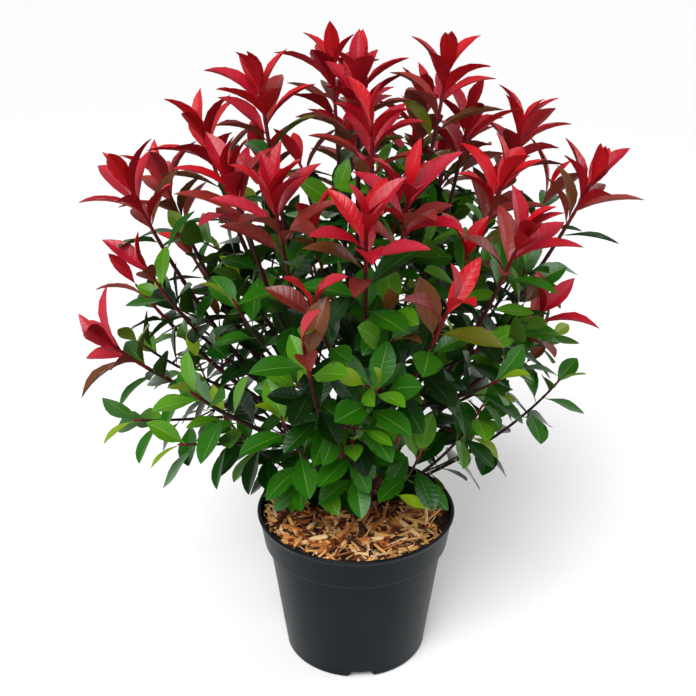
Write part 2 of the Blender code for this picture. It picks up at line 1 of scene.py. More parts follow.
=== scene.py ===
"""Looks of the potted photinia: camera, light, pot, bark mulch, limbs, shoots and leaves.

Metres, +Z up, in the frame of the solids. The limbs and shoots follow the rule that the solids were
grown by, and carry it on to finer twigs and to every leaf. Each kind of growth is one joined mesh, and
tints that have a place on the plant are plain colours dealt out leaf by leaf.
"""

import math
from collections import namedtuple

import bpy
import numpy as np
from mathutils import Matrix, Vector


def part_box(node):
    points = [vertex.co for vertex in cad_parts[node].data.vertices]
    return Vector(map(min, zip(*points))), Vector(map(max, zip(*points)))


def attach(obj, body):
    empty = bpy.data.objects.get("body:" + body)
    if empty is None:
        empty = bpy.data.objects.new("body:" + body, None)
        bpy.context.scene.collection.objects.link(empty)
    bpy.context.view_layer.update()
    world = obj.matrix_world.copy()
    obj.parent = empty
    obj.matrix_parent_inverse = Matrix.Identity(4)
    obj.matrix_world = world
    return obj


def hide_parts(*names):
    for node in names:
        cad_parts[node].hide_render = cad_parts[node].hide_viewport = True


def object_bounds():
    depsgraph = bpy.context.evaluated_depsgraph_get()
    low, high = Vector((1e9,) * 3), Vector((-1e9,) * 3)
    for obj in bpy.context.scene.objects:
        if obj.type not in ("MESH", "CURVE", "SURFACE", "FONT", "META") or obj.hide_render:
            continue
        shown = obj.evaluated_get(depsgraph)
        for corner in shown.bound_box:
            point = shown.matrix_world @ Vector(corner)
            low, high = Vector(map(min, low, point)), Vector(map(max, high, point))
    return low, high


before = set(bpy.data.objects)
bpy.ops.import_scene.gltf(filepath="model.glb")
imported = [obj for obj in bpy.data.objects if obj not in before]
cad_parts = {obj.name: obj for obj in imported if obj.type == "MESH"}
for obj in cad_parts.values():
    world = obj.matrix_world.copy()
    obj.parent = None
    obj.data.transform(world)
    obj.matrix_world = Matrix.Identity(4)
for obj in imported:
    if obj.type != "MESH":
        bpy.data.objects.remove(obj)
CAD_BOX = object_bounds()
LOW_CORNER = np.array(CAD_BOX[0]) + 0.001       # of the room for leaves
HIGH_CORNER = np.array(CAD_BOX[1]) - 0.001
UP = np.array((0.0, 0.0, 1.0))
FRONT = math.radians(270)       # bearing of the side that the photograph shows
SEED = 11
GAP = 0.0003            # between a part and its seat

# Pot and filling: the driving sizes come from the solids
RIM_RADIUS = 0.5 * (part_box("pot")[1].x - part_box("pot")[0].x)
RIM_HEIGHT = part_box("pot")[1].z
SOIL_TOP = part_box("potting_soil")[1].z
COLLAR_TOP_RADIUS = RIM_RADIUS - 0.0015
COLLAR_FOOT_RADIUS = RIM_RADIUS - 0.009
COLLAR_FOOT_HEIGHT = RIM_HEIGHT - 0.047
COLLAR_ROUND = 0.0022
SHOULDER_RADIUS = RIM_RADIUS - 0.0165
SHOULDER_HEIGHT = RIM_HEIGHT - 0.055
SHOULDER_ROUND = 0.0035
FOOT_RADIUS = 0.1022
FOOT_ROUND = 0.005
LIP_ROLL = 0.0024       # radius of the rolled lip
WALL = 0.0022
POT_FLOOR = 0.0118      # inside, above the notches
POT_COLUMNS = 480
UNDERSIDE_ROWS = 6
NOTCH_ROWS = 7
HEEL_ROWS = 9
NOTCH_COUNT = 4
NOTCH_TURN = math.radians(4)
NOTCH_WIDTH = 0.042     # at the ground
NOTCH_TOP_WIDTH = 0.027
NOTCH_HEIGHT = 0.010
NOTCH_DEPTH = 0.016
SOIL_COLUMNS = 96

# Mulch: a lumpy bed, and splinters strewn over it
MULCH_TOP = 0.212
MULCH_EDGE_DROP = 0.003
BED_SINK = 0.0022               # of the bed, which the splinters lie on, below the top
BED_COLUMNS = 128
CHIP_COUNT = 1900
CHIP_LENGTH = 0.010             # of the shortest
CHIP_LENGTH_SPAN = 0.034        # by which the longest is longer
CHIP_SLIMNESS = (0.07, 0.19)    # breadth as a share of the length
CHIP_BREADTH = (0.0014, 0.0066)
CHIP_FLATNESS = (0.4, 0.75)     # thickness as a share of the breadth
CHIP_THICKNESS = (0.0009, 0.0034)
CHIP_PITCH = 0.24
CHIP_STEEPEST = 0.42
CHIP_ROLL = 0.5
CHIP_BOW = (-0.03, 0.05)        # height of the bow as a share of the length
CHIP_LIFT = (0.0004, 0.0080)    # of the middle above the bed
CHIP_STATIONS = np.array((-0.5, -0.43, 0.0, 0.43, 0.5))
CHIP_GIRTHS = np.array((0.6, 0.95, 1.0, 0.9, 0.5))
CHIP_CORNERS = np.array(((-0.5, -0.35), (0.5, -0.5), (0.42, 0.5), (-0.05, 0.62), (-0.5, 0.4)))

# Trunk and boughs, as in the solids
TRUNK_FOOT = np.array((0.016, 0.018, MULCH_TOP + GAP))
TRUNK_TOP = np.array((0.007, 0.008, 0.288))
TRUNK_FOOT_RADIUS = 0.0155
TRUNK_RADIUS = 0.0112
TRUNK_TOP_RADIUS = 0.0088
FLARE_HEIGHT = 0.011
FLARE_LEFT = 0.28               # share of the flare that is left at half its height
ROOT_LOBES = 5
ROOT_LOBE_DEPTH = 0.13
TRUNK_RINGS = 34
TRUNK_SIDES = 48
SINK = 0.004                    # of a bough's foot into the trunk, and of the trunk's top into a bough
BOUGH_SEAT = 0.246
HIGH_BOUGH_SEAT = 0.271
SKIRT_SEAT = 0.2285
SEAT_SPAN = 2.5
BOUGH_REACH = 0.24
BOUGH_RADII = (0.0056, 0.0044)
BOUGH_SEAT_RADIUS = 0.0048
SKIRT_SEAT_RADIUS = 0.0024
BOUGH_RINGS = 5
BOUGH_MESH_RINGS = 36
BOUGH_SIDES = 14
BOUGH_BEARING = {
    "left": 188, "left_high": 175, "front_left": 240, "front": 293, "right": 346,
    "right_high": 15, "back_right": 46, "back": 94, "back_left": 134,
}
HIGH_BOUGHS = ("left_high", "right_high", "back")

# Crown: bearing, lean and reach of each shoot's tip from the crown's centre, as in the solids
CROWN_CENTRE = np.array((0.0, 0.0, 0.26))
CROWN = {
    "left": {
        "left_outer": [(184, 33, 0.514)],
        "left_rear": [(162, 33, 0.492)],
        "left_middle": [(171, 47, 0.411)],
        "left_low": [(191, 53, 0.403), (195, 65, 0.330)],
    },
    "left_high": {
        "left_peak": [(159, 24, 0.526)],
        "left_top": [(190, 12, 0.562)],
        "left_inner": [(207, 20, 0.480)],
    },
    "front_left": {
        "front_left_high": [(240, 22, 0.497)],
        "front_left_low": [(257, 39, 0.418)],
        "front_left_outer": [(222, 49, 0.350)],
    },
    "top": {
        "top_rear": [(108, 10, 0.564), (118, 21, 0.450)],
        "top_middle": [(0, 0, 0.560)],
        "top_right": [(9, 11, 0.580), (53, 16, 0.522)],
    },
    "front": {
        "front_top": [(282, 9, 0.527)],
        "front_right_high": [(289, 20, 0.496)],
        "front_middle": [(272, 27, 0.503)],
        "front_right": [(293, 35, 0.437)],
    },
    "right_high": {
        "right_top": [(27, 18, 0.525)],
        "right_peak": [(28, 28, 0.535)],
        "right_inner": [(348, 22, 0.477)],
    },
    "right": {
        "right_outer": [(0, 34, 0.524), (21, 35, 0.485)],
        "right_front": [(322, 30, 0.470)],
        "right_low": [(340, 40, 0.380)],
    },
    "back_right": {
        "back_right_high": [(60, 32, 0.500)],
        "back_right_outer": [(38, 48, 0.422)],
        "back_right_low": [(72, 50, 0.400)],
    },
    "back": {
        "back_top": [(88, 18, 0.548)],
        "back_middle": [(92, 32, 0.508)],
        "back_low": [(103, 52, 0.390)],
    },
    "back_left": {
        "back_left_high": [(122, 33, 0.495)],
        "back_left_outer": [(143, 47, 0.418)],
        "back_left_low": [(125, 57, 0.343)],
    },
}
SKIRT = {
    "skirt_left": (205, 52, 0.240),
    "skirt_front_left": (242, 45, 0.275),
    "skirt_front": (268, 47, 0.250),
    "skirt_front_right": (296, 52, 0.225),
    "skirt_right_front": (322, 47, 0.270),
    "skirt_right": (351, 56, 0.325),
    "skirt_back_right": (50, 58, 0.270),
    "skirt_back": (82, 50, 0.250),
    "skirt_back_left": (115, 60, 0.250),
    "skirt_left_back": (160, 50, 0.260),
}
MASSES = [mass for masses in CROWN.values() for mass in masses] + list(SKIRT)

# Shoots
LEADER_RINGS = 5
SIDE_RINGS = 4
FORK_ROOM = 0.0024
FORK_ROUNDS = 60
FORK_PUSH = 0.25
SIDE_FORK = 0.30
SIDE_SPREAD = (0.060, 0.100)
SIDE_DROP = (0.12, 0.42)
SIDE_TRIES = 8
SIDE_OUT = (-0.6, 0.15)
RED_LINES = {"leader": 0.492, "skirt": 0.492, "side": 0.60}     # shoots that end higher are red
LEADER_CURVE = (0.62, 0.42)     # shares of the way out and up at which the curve's control point lies
SKIRT_CURVE = (0.70, 0.45)
BOUGH_CURVE = (0.74, 0.36)
TOP_BOUGH_CURVE = (0.62, 0.36)
TWIG_LENGTH = (0.050, 0.095)
TWIG_LEAN = (35, 60)
TWIG_TOP = 0.16                 # bare of twigs: this far from a shoot's tip
TWIG_FOOT = 0.45                # and this share of the shoot from its foot
TWIG_ROOM = 0.02                # least room between the two
TWIG_PLACE = (0.2, 0.8)         # shares of that room between which a twig grows
TWIG_NUMBERS = 1000             # seeds of twigs count from here
RING_STEP = 0.0045              # between the rings of a shoot's mesh
LEAST_RINGS = 6
DENSE_STEP = 0.006              # between the points that leaves and shoots keep clear of
STEM_RADII = {"leader": (0.0040, 0.0021), "side": (0.0024, 0.0016), "skirt": (0.0028, 0.0015),
              "twig": (0.0015, 0.0011)}
STEM_SIDES = {"leader": 8, "side": 8, "skirt": 8, "twig": 6}
STEM_AGES = (0.06, 0.18)        # ages, counted as a leaf's, at which a stem turns wine red and brown
GREEN_STEM_PACE = 4.0           # those of green shoots turn so much sooner

# Leaves, counted down from the tip of a shoot
FIRST_LEAF = 0.002
LEAF_STEP = 0.0094
LEAF_POWER = 1.16
MOST_LEAVES = 40
BARE_SHARE = {"leader": 0.44, "side": 0.28, "skirt": 0.30, "twig": 0.0}     # of a shoot, from its foot
OLD_LEAF = 6
FALLEN_SHARE = 0.42             # of the leaves below that one
GOLDEN_TURN = math.radians(137.5)
RETRY_TURNS = np.radians((0, 35, -35, 70, -70, 110, -110, 150))
HEM_HEIGHT = 0.24               # leaves keep above this height near the pot
HEM_RADIUS = 0.12
HEM_RISE = 0.30                 # and above this slope beyond that radius
CLEARANCE_HEIGHTS = (0.36, 0.60)
LEAF_CLEARANCE = (0.0138, 0.0050)       # between leaves at these heights
STEM_CLEARANCE = 0.8 * LEAF_CLEARANCE[1]
LEAF_NECK = 0.012               # nearer to its root a leaf isn't tested
NEARBY = 0.1                    # how far round its root a leaf looks for others

# Measures of an old leaf, of a young one, and how far they stray
ARCH = (20, 44, 14)             # degrees, as is the fold
FOLD = (12, 26, 6)
WIDTH = (0.475, 0.340, 0.035)   # share of the length, as is the stalk
STALK = (0.14, 0.07)
BELLY = (1.1, 1.2)              # power of the outline, as is the taper
TAPER = (0.95, 1.15)
SIZE_STRAY = (0.88, 1.12)
LEAN_STRAY = 8
RIPPLE = (0.004, 0.012)
TIP_DROOP = ((0.03, 0.15), (0.0, 0.25))     # by the distance from the tip
LOW_DROOP = ((0.27, 0.5), (0.7, 0.0))       # by the height
STALK_WIDTH = 0.0013
BLADE_THICKNESS = 0.0005
EDGE_WAVES = 1.6
VEINS = 8.5                     # pairs along a blade
VEIN_SLANT = 2.1
VEIN_SHARPNESS = 6.0
BLADE_ROWS = np.array((-1.0, 0.0, 0.10, 0.23, 0.39, 0.56, 0.73, 0.87, 0.96, 1.0))   # from the stalk's root
BLADE_COLUMNS = np.array((-1.0, -0.55, -0.035, 0.035, 0.55, 1.0))
PROBE_ROWS = np.array((0.3, 0.55, 0.8, 1.0))
PROBE_COLUMNS = np.array((-0.7, 0.0, 0.7))

# Age of a leaf: its distance from the tip, times the pace of its kind of shoot
AGE_PACE = {"leader": 1.0, "side": 1.4, "skirt": 1.0, "twig": 1.3}
LOW_TIPS = {"leader": (0.54, 0.72), "side": (0.60, 0.76)}   # heights from weak rosettes to full ones
STRONG_LOW = {"left_low": 0.65, "right_low": 0.55}      # low rosettes that are nearly full, and how far
LOW_PACE = 2.6                  # leaves of the weak ones turn green so much sooner
LOW_SIZE = 0.90
LOW_FORCE = 0.6                 # force from which a rosette has its leaves at half steps
ROSETTE_STEPS = 5

# A leaf's youth and length by its age, its lean by the distance from the tip, and its tints by its age
Habit = namedtuple("Habit", "youth length lean tints")
# The oldest leaves, deep inside the crown, mostly take the darkest tint, which is painted shade: a
# near-black green for the dark hollow of the crown
OLDEST = (9.0, {"light": 0.04, "mid": 0.12, "deep": 0.24, "painted_shade": 0.60})   # shares up to that age
RED_HABIT = Habit(
    ((0.06, 0.14), (1.0, 0.0)),
    ((0, 0.012, 0.03, 0.06, 0.09, 0.14), (0.056, 0.076, 0.087, 0.086, 0.078, 0.068)),
    ((0, 0.010, 0.022, 0.05, 0.09, 0.14), (14, 33, 49, 58, 62, 68)),
    (
        (0.020, {"scarlet": 0.60, "crimson": 0.40}),
        (0.046, {"scarlet": 0.30, "crimson": 0.45, "rose": 0.25}),
        (0.064, {"crimson": 0.20, "brick": 0.50, "rose": 0.10, "maroon": 0.20}),
        (0.090, {"brick": 0.26, "maroon": 0.34, "bronze": 0.30, "olive": 0.10}),
        (0.120, {"bronze": 0.20, "olive": 0.26, "mid": 0.38, "deep": 0.16}),
        (0.200, {"light": 0.12, "mid": 0.43, "deep": 0.45}),
        OLDEST,
    ))
GREEN_HABIT = Habit(
    ((0.0, 0.03), (0.4, 0.0)),
    ((0, 0.012, 0.03, 0.3), (0.042, 0.057, 0.067, 0.060)),
    ((0, 0.012, 0.03, 0.08), (20, 44, 58, 67)),
    (
        (0.006, {"lime": 0.5, "light": 0.3, "bronze": 0.2}),
        (0.030, {"light": 0.50, "mid": 0.50}),
        (0.080, {"light": 0.18, "mid": 0.57, "deep": 0.25}),
        (0.115, {"light": 0.08, "mid": 0.42, "deep": 0.50}),
        OLDEST,
    ))
Shoot = namedtuple("Shoot", "mass kind route curve red number")
Leaf = namedtuple("Leaf", "root along upper length width arch fold ripple phase stalk belly taper tint")

# Stage
CAMERA_PLACE = (-0.0112, -1.30, 1.039)
CAMERA_DIP = math.radians(23.74)
LENS = 55.14
GROUND_SIZE = 30.0
SKY_TONES = ((0.0, 0.96), (0.08, 0.90), (0.30, 0.44), (1.0, 0.42))      # by the height of the direction
SUN_POWER = 2.6
SUN_SPREAD = math.radians(34)
SUN_TURN = (math.radians(42), 0.0, math.radians(-16))
LAMPS = {"key": ((-1.5, -1.2, 1.7), 16.0), "rim": ((1.7, 0.2, 1.3), 9.0)}   # place and power
LAMP_WIDTH = 0.9
LAMP_AIM = np.array((0.0, 0.0, 0.45))

# Screen colours of the upper side, the underside, and the rib and stalk of a leaf
TINTS = {
    "scarlet": ((184, 4, 22), (164, 18, 24), (158, 10, 24)),
    "crimson": ((166, 4, 32), (150, 18, 28), (140, 8, 26)),
    "rose": ((170, 26, 48), (156, 38, 44), (146, 30, 44)),
    "brick": ((142, 38, 32), (132, 52, 42), (134, 44, 36)),
    "maroon": ((108, 34, 26), (108, 48, 36), (112, 38, 30)),
    "bronze": ((96, 54, 24), (98, 62, 34), (114, 58, 34)),
    "olive": ((82, 88, 12), (78, 80, 22), (108, 78, 30)),
    # The greens' undersides are darker than their upper sides: partly an underside's own duller green,
    # partly painted shade on the side that faces down, against the light thrown up by the pale floor
    "lime": ((114, 144, 20), (104, 124, 36), (130, 120, 48)),
    "light": ((72, 126, 16), (66, 100, 26), (112, 148, 52)),
    "mid": ((33, 90, 7), (38, 70, 14), (84, 124, 38)),
    "deep": ((15, 60, 4), (22, 46, 8), (52, 92, 24)),
    # painted shade: a near-black green, darker than any leaf's own colour, dealt to the innermost leaves
    "painted_shade": ((6, 32, 2), (11, 26, 3), (24, 50, 12)),
}
WARM_TINTS = ("scarlet", "crimson", "rose", "brick", "maroon")
TIP_TINT = (80, 12, 22)
STEM_COLOURS = {"red": (98, 10, 18), "wine": (54, 10, 12), "brown": (38, 18, 14)}

# Screen colour of the splinters of each tint, and their share
CHIP_TINTS = {
    "straw": ((250, 212, 154), 0.16),
    "golden": ((240, 180, 104), 0.28),
    "tan": ((200, 122, 58), 0.22),
    "russet": ((138, 60, 18), 0.19),
    "umber": ((60, 24, 7), 0.15),
}


def paint(red, green, blue):
    """Linear colour of a screen colour given in steps from 0 to 255."""
    share = np.array((red, green, blue)) / 255
    return tuple(np.where(share <= 0.04045, share / 12.92, ((share + 0.055) / 1.055) ** 2.4))


def unit(vector):
    """The vector at length one, or each row of an array at length one."""
    return vector / np.linalg.norm(vector, axis=-1, keepdims=True)


def full_turn(count):
    """Bearings that divide a full turn evenly."""
    return np.linspace(0, 2 * math.pi, count, endpoint=False)


def level(bearing):
    """Level direction at a bearing in degrees."""
    angle = math.radians(bearing)
    return np.array((math.cos(angle), math.sin(angle), 0.0))


def shoot_tip(way):
    """Point at a bearing, lean and reach from the crown's centre."""
    bearing, lean, reach = way
    tilt = math.radians(lean)
    return CROWN_CENTRE + reach * (math.sin(tilt) * level(bearing) + math.cos(tilt) * UP)


def rising_curve(start, end, rings, curve=LEADER_CURVE):
    """Curve that first spreads and then turns up: (1-t)^2 start + 2t(1-t) control + t^2 end."""
    control = start + (end - start) * np.array((curve[0], curve[0], curve[1]))
    t = np.linspace(0.0, 1.0, rings)[:, None]
    return (1 - t) ** 2 * start + 2 * t * (1 - t) * control + t ** 2 * end


def cross_frame(directions, chord):
    """Two directions square to each given one, which turn as little as the limb does."""
    reference = np.array((1.0, 0, 0)) if abs(chord[0]) < abs(chord[1]) else np.array((0, 1.0, 0))
    side = unit(np.cross(directions, reference))
    return side, np.cross(directions, side)


def trunk_axis(height):
    """Point of the trunk's middle line at a height, or a row for each of a column of heights."""
    share = (height - TRUNK_FOOT[2]) / (TRUNK_TOP[2] - TRUNK_FOOT[2])
    return TRUNK_FOOT + share * (TRUNK_TOP - TRUNK_FOOT)


def trunk_radius(height):
    """Radius of the trunk at a height: straight taper above the flare of the roots."""
    flare_top = TRUNK_FOOT[2] + FLARE_HEIGHT
    heights = (TRUNK_FOOT[2], TRUNK_FOOT[2] + FLARE_HEIGHT / 2, flare_top, TRUNK_TOP[2])
    middle = FLARE_LEFT * TRUNK_FOOT_RADIUS + (1 - FLARE_LEFT) * TRUNK_RADIUS
    return np.interp(height, heights, (TRUNK_FOOT_RADIUS, middle, TRUNK_RADIUS, TRUNK_TOP_RADIUS))


def trunk_seat(bearing, height, radius):
    """Point at the trunk's side where a limb of that radius starts."""
    out = level(bearing)
    foot_reach, top_reach = (trunk_axis(z) @ out + trunk_radius(z)
                             for z in (height - SEAT_SPAN * radius, height + SEAT_SPAN * radius))
    middle = trunk_axis(height)
    return middle + (0.5 * (foot_reach + top_reach) + GAP - middle @ out) * out


def plan_boughs():
    """Route of each bough, and the shares of its curve."""
    plans = {}
    for name, masses in CROWN.items():
        tips = np.array([shoot_tip(ways[0]) for ways in masses.values()])
        if name == "top":
            start, curve = TRUNK_TOP + GAP * UP, TOP_BOUGH_CURVE
        else:
            height = HIGH_BOUGH_SEAT if name in HIGH_BOUGHS else BOUGH_SEAT
            start, curve = trunk_seat(BOUGH_BEARING[name], height, BOUGH_SEAT_RADIUS), BOUGH_CURVE
        end = CROWN_CENTRE + BOUGH_REACH * (tips.mean(axis=0) - CROWN_CENTRE)
        plans[name] = (rising_curve(start, end, BOUGH_RINGS, curve), curve)
    return plans


def leader_starts(route, tips):
    """Places side by side on the tip of a bough, pushed apart until there is room for all."""
    direction = unit(route[-1] - route[-2])
    side, lift = cross_frame(direction, route[-1] - route[0])
    ways = np.array([((tip - route[-1]) @ side, (tip - route[-1]) @ lift) for tip in tips])
    places = FORK_ROOM * (ways - ways.mean(axis=0)) / np.abs(ways).max()
    for _ in range(FORK_ROUNDS):
        apart = places[:, None] - places
        gaps = np.linalg.norm(apart, axis=2) + np.eye(len(tips))
        push = np.clip(2 * FORK_ROOM - gaps, 0.0, None) * (1 - np.eye(len(tips)))
        places = places + FORK_PUSH * (apart / gaps[:, :, None] * push[:, :, None]).sum(axis=1)
    return route[-1] + GAP * direction + places @ np.array((side, lift))


def reached(route):
    """Distance from the start at each point of a route."""
    return np.concatenate(([0.0], np.cumsum(np.linalg.norm(np.diff(route, axis=0), axis=1))))


def dense(route):
    """Points at even distances along a route."""
    along = reached(route)
    places = np.linspace(0.0, along[-1], max(2, round(along[-1] / DENSE_STEP)))
    return np.column_stack([np.interp(places, along, route[:, axis]) for axis in range(3)])


def along_route(route, distance):
    """Point, and direction of growth, at a distance back from the tip of a route."""
    along = reached(route)
    place = along[-1] - distance
    k = int(np.clip(np.searchsorted(along, place) - 1, 0, len(route) - 2))
    direction = unit(route[k + 1] - route[k])
    return route[k] + (place - along[k]) * direction, direction


def side_tip(tip, random):
    """Seeded end of a side shoot, beside and below its leader's tip."""
    outward = unit((tip - CROWN_CENTRE) * np.array((1.0, 1.0, 0.0)) + 1e-6)
    sideways = np.cross(UP, outward) * (1 if random.random() < 0.5 else -1)
    spread = random.uniform(*SIDE_SPREAD)
    drop = random.uniform(*SIDE_DROP) * (tip[2] - RIM_HEIGHT)
    return tip + spread * unit(sideways + random.uniform(*SIDE_OUT) * outward) - drop * UP


def room_along(route, mass, shoots):
    """Least distance of a route from the shoots of other masses, and of its outer half from any."""
    points = dense(route)
    half = len(points) // 2
    least = 1.0
    for shoot in shoots:
        near = points[half:] if shoot.mass == mass else points
        gaps = np.linalg.norm(near[:, None] - dense(shoot.route), axis=2)
        least = min(least, float(gaps.min()))
    return least


def plan_shoots(boughs):
    """Leading and side shoots of every mass. A side shoot is the one with most room of a few."""
    shoots = []

    def add(mass, kind, route, curve=LEADER_CURVE):
        shoots.append(Shoot(mass, kind, route, curve, route[-1][2] > RED_LINES[kind], len(shoots)))

    for name, masses in CROWN.items():
        tips = [shoot_tip(ways[0]) for ways in masses.values()]
        starts = leader_starts(boughs[name][0], tips)
        for mass, start, tip in zip(masses, starts, tips):
            add(mass, "leader", rising_curve(start, tip, LEADER_RINGS))
    for mass, way in SKIRT.items():
        start = trunk_seat(way[0], SKIRT_SEAT, SKIRT_SEAT_RADIUS)
        add(mass, "skirt", rising_curve(start, shoot_tip(way), LEADER_RINGS, SKIRT_CURVE), SKIRT_CURVE)
    leaders = {shoot.mass: shoot.route for shoot in shoots}
    for masses in CROWN.values():
        for mass, ways in masses.items():
            leader = leaders[mass]
            fork = leader[round(SIDE_FORK * (LEADER_RINGS - 1))]
            random = np.random.default_rng((SEED, 1, len(shoots)))
            tips = [shoot_tip(way) for way in ways[1:]]
            tips = tips or [side_tip(leader[-1], random) for _ in range(SIDE_TRIES)]
            routes = [rising_curve(fork, tip, SIDE_RINGS) for tip in tips]
            add(mass, "side", max(routes, key=lambda route: room_along(route, mass, shoots)))
    return shoots


def smooth_route(shoot):
    """The shoot's curve with a ring every few millimetres."""
    rings = max(LEAST_RINGS, round(reached(shoot.route)[-1] / RING_STEP))
    return rising_curve(shoot.route[0], shoot.route[-1], rings, shoot.curve)


def plan_twigs(shoots):
    """A finer twig on the green part of each shoot."""
    twigs = []
    for shoot in shoots:
        random = np.random.default_rng((SEED, 3, shoot.number))
        turn = random.uniform(0, 2 * math.pi)
        room = max(TWIG_ROOM, reached(shoot.route)[-1] * (1 - TWIG_FOOT) - TWIG_TOP)
        root, stem = along_route(shoot.route, TWIG_TOP + room * random.uniform(*TWIG_PLACE))
        side, lift = cross_frame(stem, shoot.route[-1] - shoot.route[0])
        out = math.cos(turn) * side + math.sin(turn) * lift
        lean = math.radians(random.uniform(*TWIG_LEAN))
        reach = random.uniform(*TWIG_LENGTH)
        end = root + reach * unit(math.cos(lean) * stem + math.sin(lean) * out)
        route = rising_curve(root, end, SIDE_RINGS)
        number = TWIG_NUMBERS + 10 * shoot.number
        twigs.append(Shoot(shoot.mass, "twig", route, LEADER_CURVE, False, number))
    return twigs


def leaf_surface(leaves, rows, columns):
    """Upper surface of each leaf, and its normals, on a grid of stations along and across.

    The midrib is an arc: with a = arch, it is length * (sin(a u)/a along - (1-cos(a u))/a upper), its
    start turned up by a/2 so that its chord keeps to the leaf's direction. The half width is
    s^belly (1-s)^taper, scaled to the leaf's width. The halves rise by the fold, and their edges ripple."""
    field = {name: np.array([getattr(leaf, name) for leaf in leaves]) for name in Leaf._fields[:-1]}
    length, width, arch, fold, ripple, phase, stalk, belly, taper = (
        field[name][:, None, None] for name in Leaf._fields[3:-1])
    root, along, upper = (field[name][:, None] for name in ("root", "along", "upper"))
    across = np.cross(upper, along)[:, None]
    share = np.clip(rows, 0, 1)[:, None]
    bend = arch * np.where(rows[:, None] < 0, 0.0, stalk + (1 - stalk) * share)
    start = np.cos(0.5 * arch) * along + np.sin(0.5 * arch) * upper
    lift = np.cos(0.5 * arch) * upper - np.sin(0.5 * arch) * along
    middle = root + length * (np.sin(bend) / arch) * start - length * ((1 - np.cos(bend)) / arch) * lift
    normal = (np.sin(bend) * start + np.cos(bend) * lift)[:, :, None]
    widest = belly / (belly + taper)
    peak = widest ** belly * (1 - widest) ** taper
    half = 0.5 * width * length * share ** belly * (1 - share) ** taper / peak
    half = np.maximum(half, 0.5 * STALK_WIDTH * np.clip(1 - 6 * share, 0, 1))
    cycles = EDGE_WAVES * share + phase + 0.25 * np.sign(columns)
    wave = ripple * length * columns ** 2 * np.sin(2 * math.pi * cycles)
    wave = wave * np.clip(4 * share * (1 - share), 0, 1)
    level_part = columns * half * np.cos(fold)
    raised = np.abs(columns) * half * np.sin(fold) + wave
    points = middle[:, :, None] + level_part[..., None] * across + raised[..., None] * normal
    return points, np.broadcast_to(normal, points.shape)


def tube_faces(bands, sides):
    """Quads between rings of points, which are counted ring by ring, and the triangles that close the
    first and the last ring to the two points after them."""
    low = np.arange(bands)[:, None] * sides
    k = np.arange(sides)
    after = (k + 1) % sides
    quads = np.stack((low + k, low + after, low + sides + after, low + sides + k), axis=-1)
    top = bands * sides
    ends = np.full((2, sides), ((top + sides,), (top + sides + 1,)))
    caps = np.concatenate((np.column_stack((after, k, ends[0])),
                           np.column_stack((top + k, top + after, ends[1]))))
    return quads.reshape(-1, 4), caps


class Piece:
    """A joined mesh under construction: points, their places in the pattern, and faces with slots."""

    def __init__(self):
        self.points, self.places = [], []
        self.faces, self.slots = {4: [], 3: []}, {4: [], 3: []}
        self.size = 0

    def add(self, bodies, places, *kinds):
        """Adds bodies of one build: the points and pattern places of each, and as quads and triangles
        the faces of one body, which count from its first point, with their slots."""
        count, size = bodies.shape[:2]
        first = self.size + size * np.arange(count)[:, None, None]
        self.points.append(bodies.reshape(-1, 3))
        self.places.append(np.broadcast_to(places, (count, size, 2)).reshape(-1, 2))
        for faces, slots in kinds:
            corners = faces.shape[1]
            self.faces[corners].append((faces + first).reshape(-1, corners))
            self.slots[corners].append(np.tile(np.broadcast_to(slots, len(faces)), count))
        self.size += count * size

    def add_tube(self, rings, ends, places, slots=0):
        """Adds a closed tube: a grid of rings of points, and a point at each end. The slots are those
        of the bands between the rings."""
        bands, sides = len(rings) - 1, rings.shape[1]
        quads, caps = tube_faces(bands, sides)
        slots = np.repeat(np.broadcast_to(slots, bands), sides)
        body = np.concatenate((rings.reshape(-1, 3), ends))
        self.add(body[None], places, (quads, slots), (caps, slots[-1]))

    def build(self, name, finishes, replaced, crease=60):
        """Makes the object, which rides on the one body."""
        mesh = bpy.data.meshes.new(name)
        faces = [face for kind in self.faces.values() for part in kind for face in part.tolist()]
        mesh.from_pydata(np.concatenate(self.points).tolist(), [], faces)
        mesh.polygons.foreach_set("material_index", np.concatenate(self.slots[4] + self.slots[3]))
        corners = np.zeros(len(mesh.loops), np.int32)
        mesh.loops.foreach_get("vertex_index", corners)
        places = np.concatenate(self.places)[corners].astype(np.float32)
        mesh.uv_layers.new(name="pattern").data.foreach_set("uv", places.ravel())
        for finish in finishes:
            mesh.materials.append(finish.material)
        mesh.shade_smooth()
        mesh.set_sharp_from_angle(angle=math.radians(crease))
        obj = bpy.data.objects.new(name, mesh)
        bpy.context.scene.collection.objects.link(obj)
        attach(obj, "root")
        if replaced:
            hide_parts(*replaced)


def add_limb(piece, route, radius, sides, slots, ripples=0.0):
    """Adds a round limb: a ring square to the route at each point, with its own radius. Ripples are
    added to the radius, ring by ring and side by side."""
    side, lift = cross_frame(unit(np.gradient(route, axis=0)), route[-1] - route[0])
    turn = full_turn(sides)
    circle = np.cos(turn)[:, None] * side[:, None] + np.sin(turn)[:, None] * lift[:, None]
    rings = route[:, None] + (radius[:, None] + ripples)[..., None] * circle
    along = reached(route)
    places = np.stack(np.broadcast_arrays(turn / (2 * math.pi), along[:, None]), axis=-1)
    places = np.concatenate((places.reshape(-1, 2), ((0.5, 0.0), (0.5, along[-1]))))
    piece.add_tube(rings, route[[0, -1]], places, slots)


